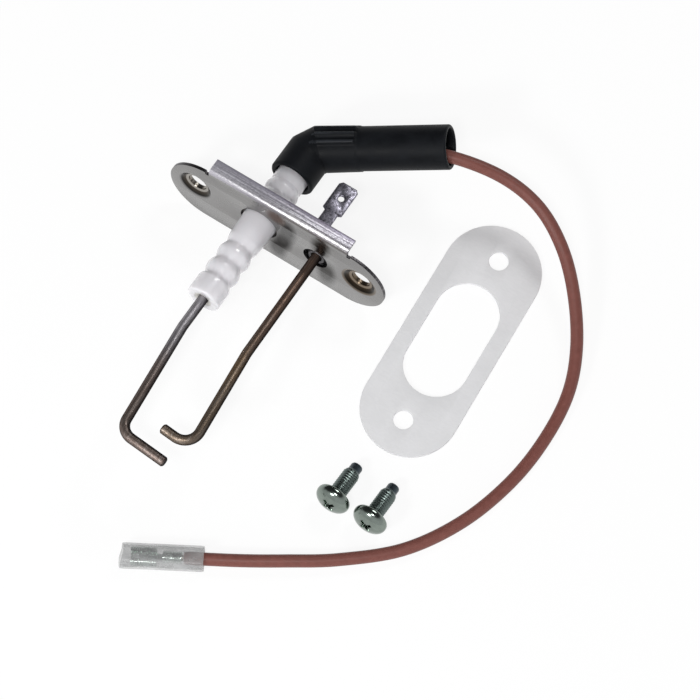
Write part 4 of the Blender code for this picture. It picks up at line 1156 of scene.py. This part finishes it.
class ELECTRODE_OT_gasket(bpy.types.Operator):
    """Punch the fibre gasket"""
    bl_idname = "electrode.gasket"
    bl_label = "Gasket"

    def execute(self, context):
        outlines = [stadium(GASKET_LENGTH, GASKET_WIDTH), stadium(SLOT_LENGTH, SLOT_WIDTH)]
        outlines += [circle(x, 0.0, GASKET_HOLE) for x in (HOLE_PITCH / 2, -HOLE_PITCH / 2)]
        made = clean(cut_sheet(outlines, GASKET_THICK, GASKET_EDGE), 45.0)
        place = Matrix.Translation(LAYOUT + LAYOUT_GASKET) @ Matrix.Rotation(radians(GASKET_TURN), 4, "Z")
        piece("fibre_gasket", made, place, "gasket", "white_fibre", fibre_board(colours().fibre), "gasket")
        return {"FINISHED"}


class ELECTRODE_OT_screws(bpy.types.Operator):
    """Roll the two screws with thread, pilot point and cross recess"""
    bl_idname = "electrode.screws"
    bl_label = "Screws"
    reach = SHANK + POINT_LENGTH

    def execute(self, context):
        finish = zinc_plate(colours().zinc)
        heading, lean = radians(SCREW_TURN), atan2(HEAD_RADIUS - POINT_RADIUS, self.reach)
        tip = Vector((cos(heading) * cos(lean), sin(heading) * cos(lean), -sin(lean)))
        for number, (x, y) in enumerate(SCREW_HEADS, 1):
            place = aligned(LAYOUT + Vector((x, y, HEAD_RADIUS * cos(lean))), -tip)
            bars = [self.bar(*size) for size in RECESS]
            screw = clean(combined(clean(self.blank()), bars, "DIFFERENCE"), 38.0)
            piece(f"zinc_screw_{number}", screw, place, f"screw_{number}", "zinc_plate", finish,
                  f"screw_{number}")
        return {"FINISHED"}

    def blank(self, sides=48, steps=132):
        """Head, helical thread and pilot point as one skin."""
        core = THREAD_RADIUS - THREAD_DEPTH
        dome = [(HEAD_RADIUS * sin(t), HEAD_RIM + (HEAD_HEIGHT - HEAD_RIM) * cos(t) ** 0.9)
                for t in [pi / 2 * k / 16 for k in range(1, 17)]]
        head = [(0.0004, HEAD_HEIGHT)] + dome + [(HEAD_RADIUS - 0.00005, 0.0003), (HEAD_RADIUS - 0.0002, 0.0),
                                                 (core + 0.0002, 0.0), (core, -0.0002)]
        rings = [hoop(radius, z, sides) for radius, z in head]
        for i in range(steps + 1):
            z = -0.0003 - (SHANK - 0.0007) * i / steps
            fade = min(1.0, i / 6.0, (steps - i) / 10.0)
            ring = []
            for k, (x, y, _) in enumerate(hoop(1.0, z, sides)):
                phase = (z / THREAD_PITCH + k / sides) % 1.0
                radius = core + THREAD_DEPTH * fade * (0.5 - 0.5 * cos(2 * pi * phase)) ** 1.4
                ring.append((radius * x, radius * y, z))
            rings.append(ring)
        point = ((0.0002, -SHANK), (0.0, -SHANK - 0.0003), (0.0, -self.reach + 0.0005),
                 (-0.0002, -self.reach + 0.0001), (-0.0004, -self.reach))
        return lofted(rings + [hoop(POINT_RADIUS + wider, z, sides) for wider, z in point])

    @staticmethod
    def bar(turn, reach, bottom_reach, half, depth):
        """One bar of the cross recess, narrowing with depth."""
        top, deep = HEAD_HEIGHT + 0.0006, HEAD_HEIGHT - depth
        verts = []
        for z, long, wide in ((top, reach, half), (deep, bottom_reach, half * 0.55)):
            verts += [(-long, -wide, z), (long, -wide, z), (long, wide, z), (-long, wide, z)]
        faces = [(0, 1, 2, 3), (7, 6, 5, 4)] + [(i, i + 4, (i + 1) % 4 + 4, (i + 1) % 4) for i in range(4)]
        mesh = new_mesh("bar", verts, faces)
        mesh.transform(Matrix.Rotation(radians(turn), 4, "Z"))
        return clean(mesh)


class ELECTRODE_OT_inner_pieces(bpy.types.Operator):
    """Finish the pieces that sit behind the plate, in the ceramic and inside the boot"""
    bl_idname = "electrode.inner_pieces"
    bl_label = "Inner pieces"

    def execute(self, context):
        spring = plain_metal("spring_steel", (0.40, 0.40, 0.39), 0.32)
        strands = plain_metal("tinned_strands", (0.62, 0.54, 0.48), 0.36)
        finishes = {"cement_rear": dry_filler("rear_cement", (0.66, 0.64, 0.60)),
                    "sealing_washer": dry_filler("sealing_fibre", (0.15, 0.14, 0.13)),
                    "retaining_bridge": spring, "snap_ring": spring,
                    "terminal_stud": plain_metal("nickel_stud", (0.60, 0.58, 0.54), 0.24),
                    "snap_terminal": plain_metal("plated_brass", (0.64, 0.54, 0.32), 0.28),
                    "lead_core_boot": strands, "lead_core_far": strands}
        for name, finish in finishes.items():
            node = frame["nodes"][name]
            node.data.materials.clear()
            node.data.materials.append(finish)
        return {"FINISHED"}


class ELECTRODE_PT_panel(bpy.types.Panel):
    """Lists the pieces in the sidebar"""
    bl_label = "Ignition electrode"
    bl_idname = "ELECTRODE_PT_panel"
    bl_space_type = "VIEW_3D"
    bl_region_type = "UI"
    bl_category = "Electrode"

    def draw(self, context):
        for settings in (context.scene.electrode_stage, context.scene.electrode_colours):
            for name in settings.__annotations__:
                self.layout.prop(settings, name)
        for operator in OPERATORS:
            self.layout.operator(operator.bl_idname)


OPERATORS = (ELECTRODE_OT_stage, ELECTRODE_OT_flange, ELECTRODE_OT_ceramic, ELECTRODE_OT_rods,
             ELECTRODE_OT_earth_terminal, ELECTRODE_OT_boot, ELECTRODE_OT_far_end, ELECTRODE_OT_lead,
             ELECTRODE_OT_gasket, ELECTRODE_OT_screws, ELECTRODE_OT_inner_pieces)
CLASSES = (ElectrodeColours, ElectrodeStage) + OPERATORS + (ELECTRODE_PT_panel,)


def register():
    for item in CLASSES:
        bpy.utils.register_class(item)
    bpy.types.Scene.electrode_colours = PointerProperty(type=ElectrodeColours)
    bpy.types.Scene.electrode_stage = PointerProperty(type=ElectrodeStage)


def unregister():
    del bpy.types.Scene.electrode_stage
    del bpy.types.Scene.electrode_colours
    for item in reversed(CLASSES):
        bpy.utils.unregister_class(item)


def main():
    register()
    for operator in OPERATORS:
        group, name = operator.bl_idname.split(".")
        getattr(getattr(bpy.ops, group), name)()


if __name__ == "__main__":
    main()
